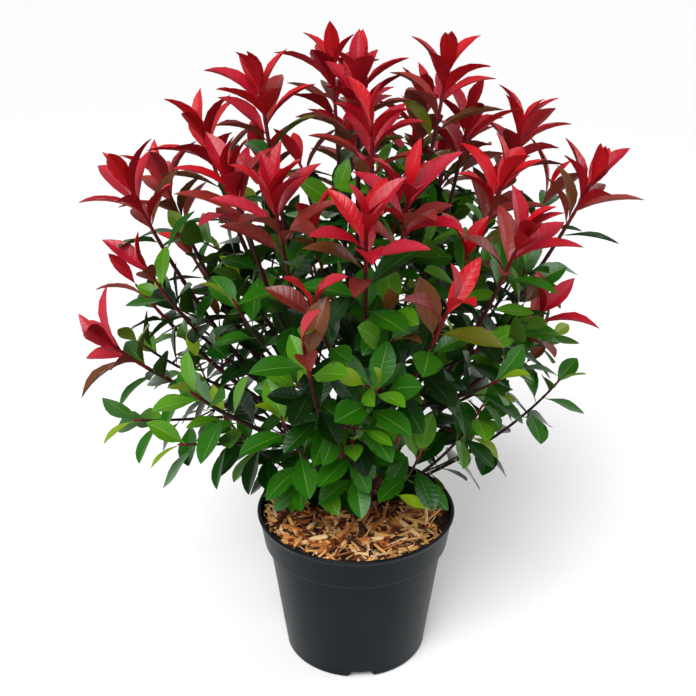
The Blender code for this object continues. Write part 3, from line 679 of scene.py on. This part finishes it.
def add_turned(piece, radius, height, poles, columns):
    """Adds a surface turned about the Z axis: radius and height have a row for each ring, and a column
    for each bearing where they change round it. It is closed by poles on the axis at these heights."""
    turn = full_turn(columns)
    rings = np.stack((radius * np.cos(turn), radius * np.sin(turn), height + 0 * turn), axis=-1)
    places = np.concatenate((rings[..., :2].reshape(-1, 2), np.zeros((2, 2))))
    piece.add_tube(rings, [(0.0, 0.0, pole) for pole in poles], places)


def maths(operation, reflected=False):
    """Method of a wire that adds a Math node, with the wire's own value last where reflected."""
    def method(self, *others):
        values = (*others, self) if reflected else (self, *others)
        return self.nodes.node("ShaderNodeMath", {"operation": operation}, dict(enumerate(values)))
    return method


class Wire:
    """An output of a node. Sums and products of wires and numbers add the Math nodes for them."""

    def __init__(self, nodes, socket):
        self.nodes, self.socket = nodes, socket

    __add__, __radd__ = maths("ADD"), maths("ADD", True)
    __sub__, __rsub__ = maths("SUBTRACT"), maths("SUBTRACT", True)
    __mul__, __rmul__ = maths("MULTIPLY"), maths("MULTIPLY", True)
    __pow__, __rpow__ = maths("POWER"), maths("POWER", True)
    __abs__, cosine = maths("ABSOLUTE"), maths("COSINE")


class Nodes:
    """A node tree under construction."""

    def __init__(self, tree):
        self.tree = tree

    def feed(self, socket, value):
        """Sets a socket, or links a wire to it."""
        if isinstance(value, Wire):
            self.tree.links.new(value.socket, socket)
        else:
            socket.default_value = value

    def node(self, kind, settings=None, inputs=None, output=0):
        """Adds a node: its settings first, then the values or wires of its sockets."""
        node = self.tree.nodes.new(kind)
        for name, value in (settings or {}).items():
            if name == "stops":
                ramp = node.color_ramp
                while len(ramp.elements) < len(value):
                    ramp.elements.new(1.0)
                for element, (place, colour) in zip(ramp.elements, value):
                    element.position = place
                    element.color = (*colour, 1.0)
            else:
                setattr(node, name, value)
        for name, value in (inputs or {}).items():
            self.feed(node.inputs[name], value)
        return Wire(self, node.outputs[output])

    def parts(self, place):
        """Wires of the X, Y and Z parts of a place."""
        split = self.node("ShaderNodeSeparateXYZ", {}, {"Vector": place})
        return [Wire(self, output) for output in split.socket.node.outputs]


class Finish(Nodes):
    """A Principled material under construction."""

    def __init__(self, name, colour, roughness, **sockets):
        self.material = bpy.data.materials.new(name)
        self.material.use_nodes = True
        super().__init__(self.material.node_tree)
        self.surface(Base_Color=(*colour, 1.0), Roughness=roughness, **sockets)

    def surface(self, **sockets):
        """Feeds the shader's own sockets."""
        for name, value in sockets.items():
            self.feed(self.tree.nodes["Principled BSDF"].inputs[name.replace("_", " ")], value)

    def tones(self, value, *stops):
        """Feeds the base colour with tones that change with a value."""
        self.surface(Base_Color=self.node("ShaderNodeValToRGB", {"stops": stops}, {"Fac": value}))

    def bump(self, height, strength, distance):
        """Feeds a height to the shader's normal."""
        self.surface(Normal=self.node(
            "ShaderNodeBump", {}, {"Height": height, "Strength": strength, "Distance": distance}))

    def pattern(self):
        """Wire of the place in the pattern."""
        return self.node("ShaderNodeUVMap", {"uv_map": "pattern"})

    def noise(self, scale, detail, stretch=None, place=None):
        """Noise on the object's coordinates or another place, drawn out along an axis where stretched."""
        place = place or self.node("ShaderNodeTexCoord", output="Object")
        if stretch is not None:
            place = self.node("ShaderNodeMapping", {}, {"Vector": place, "Scale": stretch})
        return self.node("ShaderNodeTexNoise", {}, {"Vector": place, "Scale": scale, "Detail": detail})


def blade_finish(name, colour, roughness, sheen, relief):
    """Leathery leaf: side veins sunk at a slant from the midrib, and fine puckers between them."""
    finish = Finish(name, colour, roughness, Specular_IOR_Level=sheen)
    along, across, _ = finish.parts(finish.pattern())
    slant = VEINS * along - VEIN_SLANT * abs(across - 0.5)
    vein = (slant * (2 * math.pi)).cosine() * 0.5 + 0.5
    finish.bump(finish.noise(420, 2.0) * 0.5 - vein ** VEIN_SHARPNESS, relief, 0.0005)
    return finish


def rib_finish(name, colour):
    """Midrib and stalk."""
    finish = Finish(name, colour, 0.5)
    finish.bump(finish.noise(900, 1.0), 0.2, 0.0003)
    return finish


def bark_finish(name, low, high, scale, strength):
    """Bark: two tones in streaks drawn out along the stem, with a relief of the same streaks."""
    finish = Finish(name, low, 0.62)
    streaks = finish.noise(scale, 4.0, (1.0, 1.0, 0.28))
    finish.tones(streaks, (0.35, low), (0.68, high))
    finish.bump(streaks, strength, 0.0012)
    return finish


def leaf_faces():
    """Quads and triangles of one leaf whose two sides share their edge, with their slots: 0 upper side,
    1 underside, 2 rib and stalk, 3 point."""
    rows, columns = len(BLADE_ROWS) - 1, len(BLADE_COLUMNS)
    top = np.arange(rows * columns).reshape(rows, columns)
    under = top.copy()
    inner = (rows - 1) * (columns - 2)
    under[1:, 1:-1] = rows * columns + np.arange(inner).reshape(rows - 1, columns - 2)
    quads = [np.stack((grid[:-1, :-1], grid[1:, :-1], grid[1:, 1:], grid[:-1, 1:]), axis=-1)
             for grid in (top, under)]
    slots = np.zeros((2, rows - 1, columns - 1), int)
    slots[1] = 1
    slots[0, :, (columns - 1) // 2] = slots[:, 0] = 2
    point = np.full(columns - 1, rows * columns + inner)
    tips = np.concatenate((np.column_stack((top[-1, :-1], point, top[-1, 1:])),
                           np.column_stack((under[-1, 1:], point, under[-1, :-1]))))
    faces = np.concatenate((quads[0].reshape(-1, 4), quads[1][..., ::-1].reshape(-1, 4)))
    return (faces, slots.ravel()), (tips, 3)


def add_leaves(piece, leaves):
    """Adds closed blades: the upper grid from the stalk's root to the last station before the tip, the
    inner points of the underside, which lie a little below, and the tip."""
    points, normals = leaf_surface(leaves, BLADE_ROWS, BLADE_COLUMNS)
    upper, tip = points[:, :-1], points[:, -1:, :1]
    neck = 1 + 1.4 * np.clip(1 - 5 * BLADE_ROWS[1:-1, None], 0, 1)
    thick = BLADE_THICKNESS * (1 - BLADE_COLUMNS[1:-1] ** 2) * neck
    under = upper[:, 1:, 1:-1] - thick[None, ..., None] * normals[:, 1:-1, 1:-1]
    bodies = np.concatenate([part.reshape(len(leaves), -1, 3) for part in (upper, under, tip)], axis=1)
    shares = np.clip(BLADE_ROWS, 0, 1), 0.5 + 0.5 * BLADE_COLUMNS
    grid = np.stack(np.meshgrid(*shares, indexing="ij"), axis=-1)
    places = np.concatenate((grid[:-1].reshape(-1, 2), grid[1:-1, 1:-1].reshape(-1, 2), ((1.0, 0.5),)))
    piece.add(bodies, places, *leaf_faces())


class Crown:
    """What has grown so far, as points that new leaves keep clear of."""

    def __init__(self, shoots, boughs):
        routes = [shoot.route for shoot in shoots] + [route for route, _ in boughs.values()]
        self.wood = np.concatenate([dense(route) for route in routes]).astype(np.float32)
        self.leaves = np.empty((0, 3), np.float32)

    def has_room(self, points, root):
        """True where a leaf's points stay in the crown's room and clear of leaves and stems."""
        if (points < LOW_CORNER).any() or (points > HIGH_CORNER).any():
            return False
        out = np.hypot(points[:, 0], points[:, 1]) + np.clip(-points[:, 1], 0, None)
        if (points[:, 2] < HEM_HEIGHT + HEM_RISE * np.clip(out - HEM_RADIUS, 0, None)).any():
            return False
        clear = points[np.linalg.norm(points - root, axis=1) > LEAF_NECK].astype(np.float32)
        clearance = np.interp(root[2], CLEARANCE_HEIGHTS, LEAF_CLEARANCE)
        for others, room in ((self.leaves, clearance), (self.wood, STEM_CLEARANCE)):
            near = others[np.abs(others - root).max(axis=1) < NEARBY]
            if len(near) and ((clear[:, None] - near) ** 2).sum(axis=2).min() < room ** 2:
                return False
        return True

    def take(self, points):
        """Keeps a new leaf's points."""
        self.leaves = np.concatenate((self.leaves, points.astype(np.float32)))


def measure(rule, youth, random):
    """Measure of a leaf between an old one's and a young one's, with its seeded stray."""
    old, young, stray = rule
    return np.interp(youth, (0, 1), (old, young)) + random.uniform(-stray, stray)


def grow_leaves(shoot, crown):
    """Leaves in a spiral down a shoot, upright at its tip and spreading below it. Each takes the first
    turn at which it has room, and is left out where it has none."""
    random = np.random.default_rng((SEED, 2, shoot.number))
    start_turn = random.uniform(0, 2 * math.pi)
    bare_from = reached(shoot.route)[-1] * (1 - BARE_SHARE[shoot.kind])
    route = smooth_route(shoot)
    habit = RED_HABIT if shoot.red else GREEN_HABIT
    force = np.interp(shoot.route[-1][2], LOW_TIPS[shoot.kind], (0.0, 1.0)) if shoot.red else 1.0
    force = max(force, STRONG_LOW.get(shoot.mass, 0.0))
    pace = AGE_PACE[shoot.kind] * (LOW_PACE + (1 - LOW_PACE) * force)
    crowded = ROSETTE_STEPS if shoot.red and force > LOW_FORCE else 0
    leaves = []
    for index in np.concatenate((np.arange(0, crowded, 0.5), np.arange(crowded, MOST_LEAVES))):
        distance = FIRST_LEAF + LEAF_STEP * index ** LEAF_POWER
        if distance > bare_from:
            break
        root, stem = along_route(route, distance)
        side, lift = cross_frame(stem, shoot.route[-1] - shoot.route[0])
        age = distance * pace
        youth = np.interp(age, *habit.youth)
        length = np.interp(age, *habit.length) * (LOW_SIZE + (1 - LOW_SIZE) * force)
        length *= random.uniform(*SIZE_STRAY)
        droop = np.interp(distance, *TIP_DROOP) + np.interp(root[2], *LOW_DROOP)
        lean = math.radians(np.interp(distance, *habit.lean) + random.uniform(-LEAN_STRAY, LEAN_STRAY))
        arch, fold = (math.radians(measure(rule, youth, random)) for rule in (ARCH, FOLD))
        width = measure(WIDTH, youth, random)
        stalk, belly, taper = (np.interp(youth, (0, 1), pair) for pair in (STALK, BELLY, TAPER))
        ripple = random.uniform(*RIPPLE)
        phase = random.random()
        shares = next(shares for limit, shares in habit.tints if age < limit)
        tint = random.choice(list(shares), p=list(shares.values()))
        if index > OLD_LEAF and random.random() < FALLEN_SHARE:
            continue
        measures = (length, width, arch, fold, ripple, phase, stalk, belly, taper, tint)
        facing = stem + 2 * droop * UP
        for turn in start_turn + index * GOLDEN_TURN + RETRY_TURNS:
            out = math.cos(turn) * side + math.sin(turn) * lift
            along = unit(math.cos(lean) * stem + math.sin(lean) * out - droop * UP)
            leaf = Leaf(root, along, unit(facing - (facing @ along) * along), *measures)
            points = leaf_surface([leaf], PROBE_ROWS, PROBE_COLUMNS)[0].reshape(-1, 3)
            if crown.has_room(points, root):
                crown.take(points)
                leaves.append(leaf)
                break
    return leaves


def build_leaves(shoots, crown):
    """One joined piece for each tint."""
    leaves = [leaf for shoot in shoots for leaf in grow_leaves(shoot, crown)]
    for tint, colours in TINTS.items():
        blade, underside, rib = (paint(*colour) for colour in colours)
        warm = tint in WARM_TINTS
        roughness, sheen, relief = (0.38, 0.42, 0.38) if warm else (0.30, 0.28, 0.22)
        piece = Piece()
        add_leaves(piece, [leaf for leaf in leaves if leaf.tint == tint])
        piece.build("leaves_" + tint, [
            blade_finish(tint + "_upper", blade, roughness, sheen, relief),
            blade_finish(tint + "_under", underside, 0.65, 0.08, 0.25),
            rib_finish(tint + "_rib", rib),
            rib_finish(tint + "_point", paint(*TIP_TINT) if warm else blade),
        ], MASSES)


def build_trunk():
    """Short leaning stem with root lobes at its foot, its bark cracked lengthwise."""
    heights = np.linspace(TRUNK_FOOT[2], TRUNK_TOP[2], TRUNK_RINGS)[:, None]
    route = trunk_axis(heights)
    turn = full_turn(TRUNK_SIDES)
    lobes = ROOT_LOBE_DEPTH * np.clip(1 - (heights - TRUNK_FOOT[2]) / FLARE_HEIGHT, 0, 1)
    cracks = 0.035 * np.sin(9 * turn + 40 * (heights - 0.2)) * np.sin(70 * heights + 3 * turn)
    reach = trunk_radius(heights) * (1 + lobes * np.cos(ROOT_LOBES * turn) + cracks)
    circle = np.column_stack((np.cos(turn), np.sin(turn), 0 * turn))
    piece = Piece()
    piece.add_tube(route[:, None] + reach[..., None] * circle, (route[0], route[-1] + SINK * UP), (0, 0))
    bark = bark_finish("trunk_bark", paint(58, 34, 28), paint(112, 78, 60), 190, 0.8)
    piece.build("trunk_bark", [bark], ["trunk"])


def build_boughs(boughs):
    """Tapering limbs that swell where their shoots fork."""
    piece = Piece()
    share = np.linspace(0, 1, BOUGH_MESH_RINGS)
    turn = full_turn(BOUGH_SIDES)
    radius = BOUGH_RADII[0] + (BOUGH_RADII[1] - BOUGH_RADII[0]) * share
    radius = radius + 0.0016 * np.exp(-share / 0.06) + 0.0018 * np.exp(-((1 - share) / 0.10) ** 2)
    radius[-1] *= 0.7
    place = share[:, None]
    ripples = 0.00022 * np.sin(5 * turn + 30 * place) * np.sin(60 * place + 2 * turn)
    for route, curve in boughs.values():
        smooth = rising_curve(route[0], route[-1], BOUGH_MESH_RINGS, curve)
        smooth[0] -= SINK * unit(smooth[1] - smooth[0])
        add_limb(piece, smooth, radius, BOUGH_SIDES, 0, ripples)
    bark = bark_finish("bough_bark", paint(64, 30, 24), paint(104, 58, 42), 260, 0.6)
    piece.build("bough_bark", [bark], ["bough_" + name for name in boughs])


def build_stems(shoots):
    """Stems of all shoots and twigs, knuckled at each leaf, red at the tips and brown below."""
    piece = Piece()
    for shoot in shoots:
        route = smooth_route(shoot)
        left = reached(route)[-1] - reached(route)
        foot, tip = STEM_RADII[shoot.kind]
        index = (np.clip(left - FIRST_LEAF, 0, None) / LEAF_STEP) ** (1 / LEAF_POWER)
        radius = tip + (foot - tip) * (left / left[0])
        radius = radius * (1 + 0.14 * np.cos(math.pi * index) ** 8)
        radius = radius + 0.0007 * np.exp(-(left[0] - left) / 0.008)
        radius[-1] *= 0.6
        ages = left[1:] * AGE_PACE[shoot.kind] * (1.0 if shoot.red else GREEN_STEM_PACE)
        add_limb(piece, route, radius, STEM_SIDES[shoot.kind], np.searchsorted(STEM_AGES, ages))
    finishes = [Finish("stem_" + name, paint(*colour), 0.5, Specular_IOR_Level=0.2)
                for name, colour in STEM_COLOURS.items()]
    for finish in finishes:
        finish.bump(finish.noise(700, 2.0, (1.0, 1.0, 0.4)), 0.35, 0.0004)
    piece.build("shoot_stems", finishes, MASSES)


def inner_radius(height):
    """Radius of the pot's inner wall at a height."""
    heights = (POT_FLOOR, SHOULDER_HEIGHT, COLLAR_FOOT_HEIGHT, RIM_HEIGHT)
    radii = (FOOT_RADIUS, SHOULDER_RADIUS, COLLAR_FOOT_RADIUS, COLLAR_TOP_RADIUS)
    return np.interp(height, heights, radii) - WALL


def arc(centre, size, first, last, steps):
    """Points of a profile on an arc, its angles in degrees from outward towards up."""
    angle = np.radians(np.linspace(first, last, steps))
    return np.asarray(centre) + size * np.column_stack((np.cos(angle), np.sin(angle)))


def run(start, end, steps):
    """Points of a profile from a start up to, but not at, an end."""
    share = np.linspace(0, 1, steps, endpoint=False)[:, None]
    return np.asarray(start) + share * (np.asarray(end) - np.asarray(start))


def pot_profile():
    """Radius and height of each row of the pot, from its underside up the outside, over the lip and
    down the inside."""
    lip = (RIM_RADIUS - LIP_ROLL, RIM_HEIGHT - LIP_ROLL)
    notch_back = (FOOT_RADIUS - NOTCH_DEPTH, 0.0)
    heel = (FOOT_RADIUS - FOOT_ROUND, 0.0)
    body_foot = (FOOT_RADIUS + 0.0004, NOTCH_HEIGHT + 0.0007)
    shoulder = (SHOULDER_RADIUS, SHOULDER_HEIGHT)
    step_foot = (SHOULDER_RADIUS + 0.0026, SHOULDER_HEIGHT + 0.0042)
    step_top = (COLLAR_FOOT_RADIUS - 0.0012, COLLAR_FOOT_HEIGHT - 0.0018)
    collar_foot = (COLLAR_FOOT_RADIUS + 0.0003, COLLAR_FOOT_HEIGHT + 0.0025)
    collar_top = (COLLAR_TOP_RADIUS - 0.0012, lip[1] - 0.0030)
    upper_heights = np.linspace(lip[1] - 0.001, SHOULDER_HEIGHT, 12)
    heights = np.concatenate((upper_heights, (0.12, 0.06, POT_FLOOR)))
    inside = np.column_stack((inner_radius(heights), heights))
    inside[0, 0] = lip[0] - LIP_ROLL
    return np.concatenate((
        run((0.02, 0.0), notch_back, UNDERSIDE_ROWS),
        run(notch_back, heel, NOTCH_ROWS),
        arc((heel[0], FOOT_ROUND), FOOT_ROUND, -90, 0, HEEL_ROWS),
        run(body_foot, shoulder, 26),
        arc((SHOULDER_RADIUS + SHOULDER_ROUND, SHOULDER_HEIGHT), SHOULDER_ROUND, 180, 130, 5),
        run(step_foot, step_top, 4),
        arc((COLLAR_FOOT_RADIUS - COLLAR_ROUND, COLLAR_FOOT_HEIGHT + 0.0010), COLLAR_ROUND, -60, 0, 5),
        run(collar_foot, collar_top, 14),
        arc(lip, LIP_ROLL, -70, 180, 14),
        inside,
    ))


def build_pot():
    """Turned shell with notches in its foot, where the rows below the line of the notches' tops are
    lifted to it and pressed in. The line is level over each notch's top width, and falls straight to
    the ground at its full width."""
    profile = pot_profile()
    radius, height = (np.repeat(profile[:, [axis]], POT_COLUMNS, axis=1) for axis in range(2))
    sector = 2 * math.pi / NOTCH_COUNT
    bearing = full_turn(POT_COLUMNS) - FRONT - NOTCH_TURN
    width = 2 * np.abs((bearing + sector / 2) % sector - sector / 2) * FOOT_RADIUS
    line = NOTCH_HEIGHT * np.clip((NOTCH_WIDTH - width) / (NOTCH_WIDTH - NOTCH_TOP_WIDTH), 0, 1)
    first = UNDERSIDE_ROWS + 1
    last = UNDERSIDE_ROWS + NOTCH_ROWS + HEEL_ROWS - 1
    for row in range(first, last + 1):
        share = (row - first) / (last - first)
        lifted = line * min(1.0, 3.0 * share)
        pressed = FOOT_RADIUS - NOTCH_DEPTH * min(1.0, 1.5 - 1.5 * share)
        inside = np.clip((lifted - height[row]) / 0.001, 0, 1)
        height[row] = np.maximum(lifted, height[row])
        radius[row] += inside * (np.minimum(pressed, radius[row]) - radius[row])
    piece = Piece()
    add_turned(piece, radius, height, (0.0, POT_FLOOR), POT_COLUMNS)
    finish = Finish("pot_plastic", paint(8, 17, 23), 0.38, Specular_IOR_Level=0.145)
    clouds = finish.noise(14, 4.0)
    scuffs = finish.noise(60, 3.0, (1.0, 1.0, 0.15))
    finish.tones(clouds, (0.3, paint(4, 11, 16)), (0.6, paint(8, 17, 23)), (0.8, paint(14, 25, 31)))
    finish.surface(Roughness=0.30 + clouds * 0.1 + scuffs * 0.1)
    finish.bump(finish.noise(1500, 2.0) * 0.6 + scuffs * 0.4, 0.12, 0.0006)
    piece.build("pot_shell", [finish], ["pot"], 40)


def build_soil():
    """Body of dark crumbs under the mulch, turned to the pot's inner wall and level with its floor."""
    ends = (POT_FLOOR + GAP, SOIL_TOP)
    heights = np.concatenate((ends[:1], np.linspace(*ends, 24), ends[1:]))
    radius = inner_radius(heights) - GAP
    radius[[0, -1]] *= 0.5
    piece = Piece()
    add_turned(piece, radius[:, None], heights[:, None], ends, SOIL_COLUMNS)
    finish = Finish("soil_crumbs", paint(44, 32, 24), 0.95)
    crumbs = finish.noise(300, 5.0)
    finish.tones(crumbs, (0.35, paint(24, 17, 13)), (0.7, paint(66, 48, 36)))
    finish.bump(crumbs, 0.8, 0.002)
    piece.build("soil_body", [finish], ["potting_soil"])


BED_RADIUS = inner_radius(MULCH_TOP) - 0.0008       # just clear of the pot's wall


def bed_height(x, y):
    """Height of the mulch bed: level, with shallow waves, dropping at the pot's wall."""
    waves = 0.0012 * np.sin(61 * x + 3) * np.sin(53 * y) + 0.0008 * np.sin(131 * x + 97 * y)
    drop = MULCH_EDGE_DROP * np.clip((np.hypot(x, y) - 0.10) / 0.035, 0, 1)
    return MULCH_TOP - BED_SINK + waves - drop


def build_bed():
    """Lumpy bed of crumbled bark, flat where it lies on the soil."""
    under = SOIL_TOP + GAP
    turn = full_turn(BED_COLUMNS)
    upper = np.linspace(0.004, BED_RADIUS, 36)
    radius = np.concatenate((upper, (BED_RADIUS - 0.001, 0.5 * BED_RADIUS)))[:, None]
    height = bed_height(radius * np.cos(turn), radius * np.sin(turn))
    height[-2:] = under
    piece = Piece()
    add_turned(piece, radius[::-1], height[::-1], (under, float(bed_height(0, 0))), BED_COLUMNS)
    # The bed's tones are near black: partly the crumbled bark's own dark colour, partly painted shade in
    # the gaps between the splinters
    finish = Finish("mulch_bed", paint(60, 36, 22), 0.95)
    crumbs = finish.noise(160, 6.0)
    finish.tones(crumbs, (0.3, paint(14, 7, 3)), (0.55, paint(38, 18, 7)), (0.75, paint(84, 44, 18)))
    finish.bump(crumbs, 1.0, 0.004)
    piece.build("mulch_bed", [finish], ["mulch"])


def strew_chips(random):
    """Splinters at random places and bearings, nearly level, and which of them are clear of the pot's
    wall and the trunk."""
    out = (BED_RADIUS - 0.006) * np.sqrt(random.random(CHIP_COUNT))
    bearing = random.uniform(0, 2 * math.pi, CHIP_COUNT)
    length = CHIP_LENGTH + CHIP_LENGTH_SPAN * random.random(CHIP_COUNT) ** 2.0
    breadth = np.clip(length * random.uniform(*CHIP_SLIMNESS, CHIP_COUNT), *CHIP_BREADTH)
    thickness = np.clip(breadth * random.uniform(*CHIP_FLATNESS, CHIP_COUNT), *CHIP_THICKNESS)
    heading = random.uniform(0, 2 * math.pi, CHIP_COUNT)
    pitch = np.clip(random.normal(0, CHIP_PITCH, CHIP_COUNT), -CHIP_STEEPEST, CHIP_STEEPEST)
    roll = random.normal(0, CHIP_ROLL, CHIP_COUNT)[:, None]
    bow = random.uniform(*CHIP_BOW, CHIP_COUNT)
    x, y = out * np.cos(bearing), out * np.sin(bearing)
    z = bed_height(x, y) + random.uniform(*CHIP_LIFT, CHIP_COUNT) + 0.35 * length * np.abs(np.sin(pitch))
    middle = np.column_stack((x, y, z))
    way = np.column_stack((np.cos(heading), np.sin(heading)))
    along = np.column_stack((way * np.cos(pitch)[:, None], np.sin(pitch)))
    level_side = np.column_stack((-way[:, 1], way[:, 0], 0 * out))
    across = np.cos(roll) * level_side + np.sin(roll) * np.cross(along, level_side)
    half = 0.5 * length[:, None] * along
    end_reach = np.maximum(*(np.hypot(end[:, 0], end[:, 1]) for end in (middle + half, middle - half)))
    trunk_gap = np.hypot(x - TRUNK_FOOT[0], y - TRUNK_FOOT[1])
    kept = (end_reach < BED_RADIUS - 0.002) & (trunk_gap > TRUNK_FOOT_RADIUS + 0.5 * length)
    return (middle, along, across, np.cross(along, across), length, breadth, thickness, bow), kept


def chip_bodies(chips, random):
    """Points and pattern places of splinters: rings of corners at the stations along each, with
    tapering, ragged ends and a slight bow, and a point at each end."""
    count, sides = len(chips[0]), len(CHIP_CORNERS)
    middle, along, across, face, length, breadth, thickness, bow = (
        values[:, None, None] for values in chips)
    stations = CHIP_STATIONS[:, None]
    shape = (count, len(CHIP_STATIONS), sides)
    girth = CHIP_GIRTHS[:, None] * random.uniform(0.82, 1.15, shape)
    place = (stations + random.uniform(-0.07, 0.07, shape) * np.abs(stations) * 2) * length
    wide = CHIP_CORNERS[:, 0] * girth * breadth
    high = CHIP_CORNERS[:, 1] * girth * thickness + bow * length * (1 - 4 * stations ** 2)
    rings = middle + place[..., None] * along + wide[..., None] * across + high[..., None] * face
    bodies = np.concatenate((rings.reshape(count, -1, 3), rings[:, [0, -1]].mean(axis=2)), axis=1)
    grid = np.stack(np.meshgrid(CHIP_STATIONS, np.arange(sides) / sides, indexing="ij"), axis=-1)
    places = np.concatenate((grid.reshape(-1, 2), ((-0.5, 0.5), (0.5, 0.5))))
    return bodies, random.uniform(0, 50, (count, 1, 2)) + places


def build_chips():
    """Splinters of shredded bark, one joined piece for each tint, with fibres along them."""
    random = np.random.default_rng((SEED, 4))
    chips, kept = strew_chips(random)
    tint = random.choice(len(CHIP_TINTS), CHIP_COUNT, p=[share for _, share in CHIP_TINTS.values()])
    quads, caps = tube_faces(len(CHIP_STATIONS) - 1, len(CHIP_CORNERS))
    for number, (name, (colour, _)) in enumerate(CHIP_TINTS.items()):
        chosen = kept & (tint == number)
        bodies, places = chip_bodies([values[chosen] for values in chips], random)
        piece = Piece()
        piece.add(bodies, places, (quads, 0), (caps, 0))
        finish = Finish("chips_" + name, paint(*colour), 0.8)
        fibres = finish.noise(1.0, 3.0, (2.0, 13.0, 1.0), finish.pattern())
        finish.bump(fibres, 0.9, 0.0014)
        piece.build("chips_" + name, [finish], (), 35)


def add_light(name, kind, power, place, turn, **settings):
    """Adds a light that shines down its own Z axis."""
    lamp = bpy.data.lights.new(name, kind)
    lamp.energy = power
    for setting, value in settings.items():
        setattr(lamp, setting, value)
    light = bpy.data.objects.new(name, lamp)
    light.location = place
    light.rotation_euler = turn
    bpy.context.scene.collection.objects.link(light)


def build_stage():
    """Camera at the photograph's view, pale floor, and a soft studio sky that is lightest low down."""
    scene = bpy.context.scene
    scene.view_settings.view_transform = "Standard"
    lens = bpy.data.cameras.new("camera")
    lens.sensor_width = 36.0
    lens.lens = LENS
    lens.clip_end = 100.0
    camera = bpy.data.objects.new("camera", lens)
    camera.location = CAMERA_PLACE
    camera.rotation_euler = (math.radians(90) - CAMERA_DIP, 0.0, 0.0)
    scene.collection.objects.link(camera)
    scene.camera = camera
    mesh = bpy.data.meshes.new("floor")
    corners = [(x * GROUND_SIZE, y * GROUND_SIZE, 0) for x, y in ((-1, -1), (1, -1), (1, 1), (-1, 1))]
    mesh.from_pydata(corners, [], [(0, 1, 2, 3)])
    mesh.materials.append(Finish("floor", (0.92, 0.92, 0.92), 0.9, Specular_IOR_Level=0.0).material)
    floor = bpy.data.objects.new("floor", mesh)
    scene.collection.objects.link(floor)
    scene.world = bpy.data.worlds.new("studio")
    scene.world.use_nodes = True
    sky = Nodes(scene.world.node_tree)
    height = sky.parts(sky.node("ShaderNodeTexCoord", output="Generated"))[2]
    stops = [(place, (light, light, light)) for place, light in SKY_TONES]
    tone = sky.node("ShaderNodeValToRGB", {"stops": stops}, {"Fac": height})
    sky.feed(sky.tree.nodes["Background"].inputs["Color"], tone)
    add_light("sun", "SUN", SUN_POWER, (0.0, 0.0, 0.0), SUN_TURN, angle=SUN_SPREAD)
    for name, (place, power) in LAMPS.items():
        x, y, z = LAMP_AIM - np.array(place)
        turn = (math.atan2(math.hypot(x, y), -z), 0.0, math.atan2(y, x) - math.pi / 2)
        add_light(name, "AREA", power, place, turn, size=LAMP_WIDTH)


def main():
    """Stage first, then pot and filling, then wood, then leaves."""
    build_stage()
    build_pot()
    build_soil()
    build_bed()
    build_chips()
    boughs = plan_boughs()
    shoots = plan_shoots(boughs)
    shoots = shoots + plan_twigs(shoots)
    build_trunk()
    build_boughs(boughs)
    build_stems(shoots)
    build_leaves(shoots, Crown(shoots, boughs))


main()
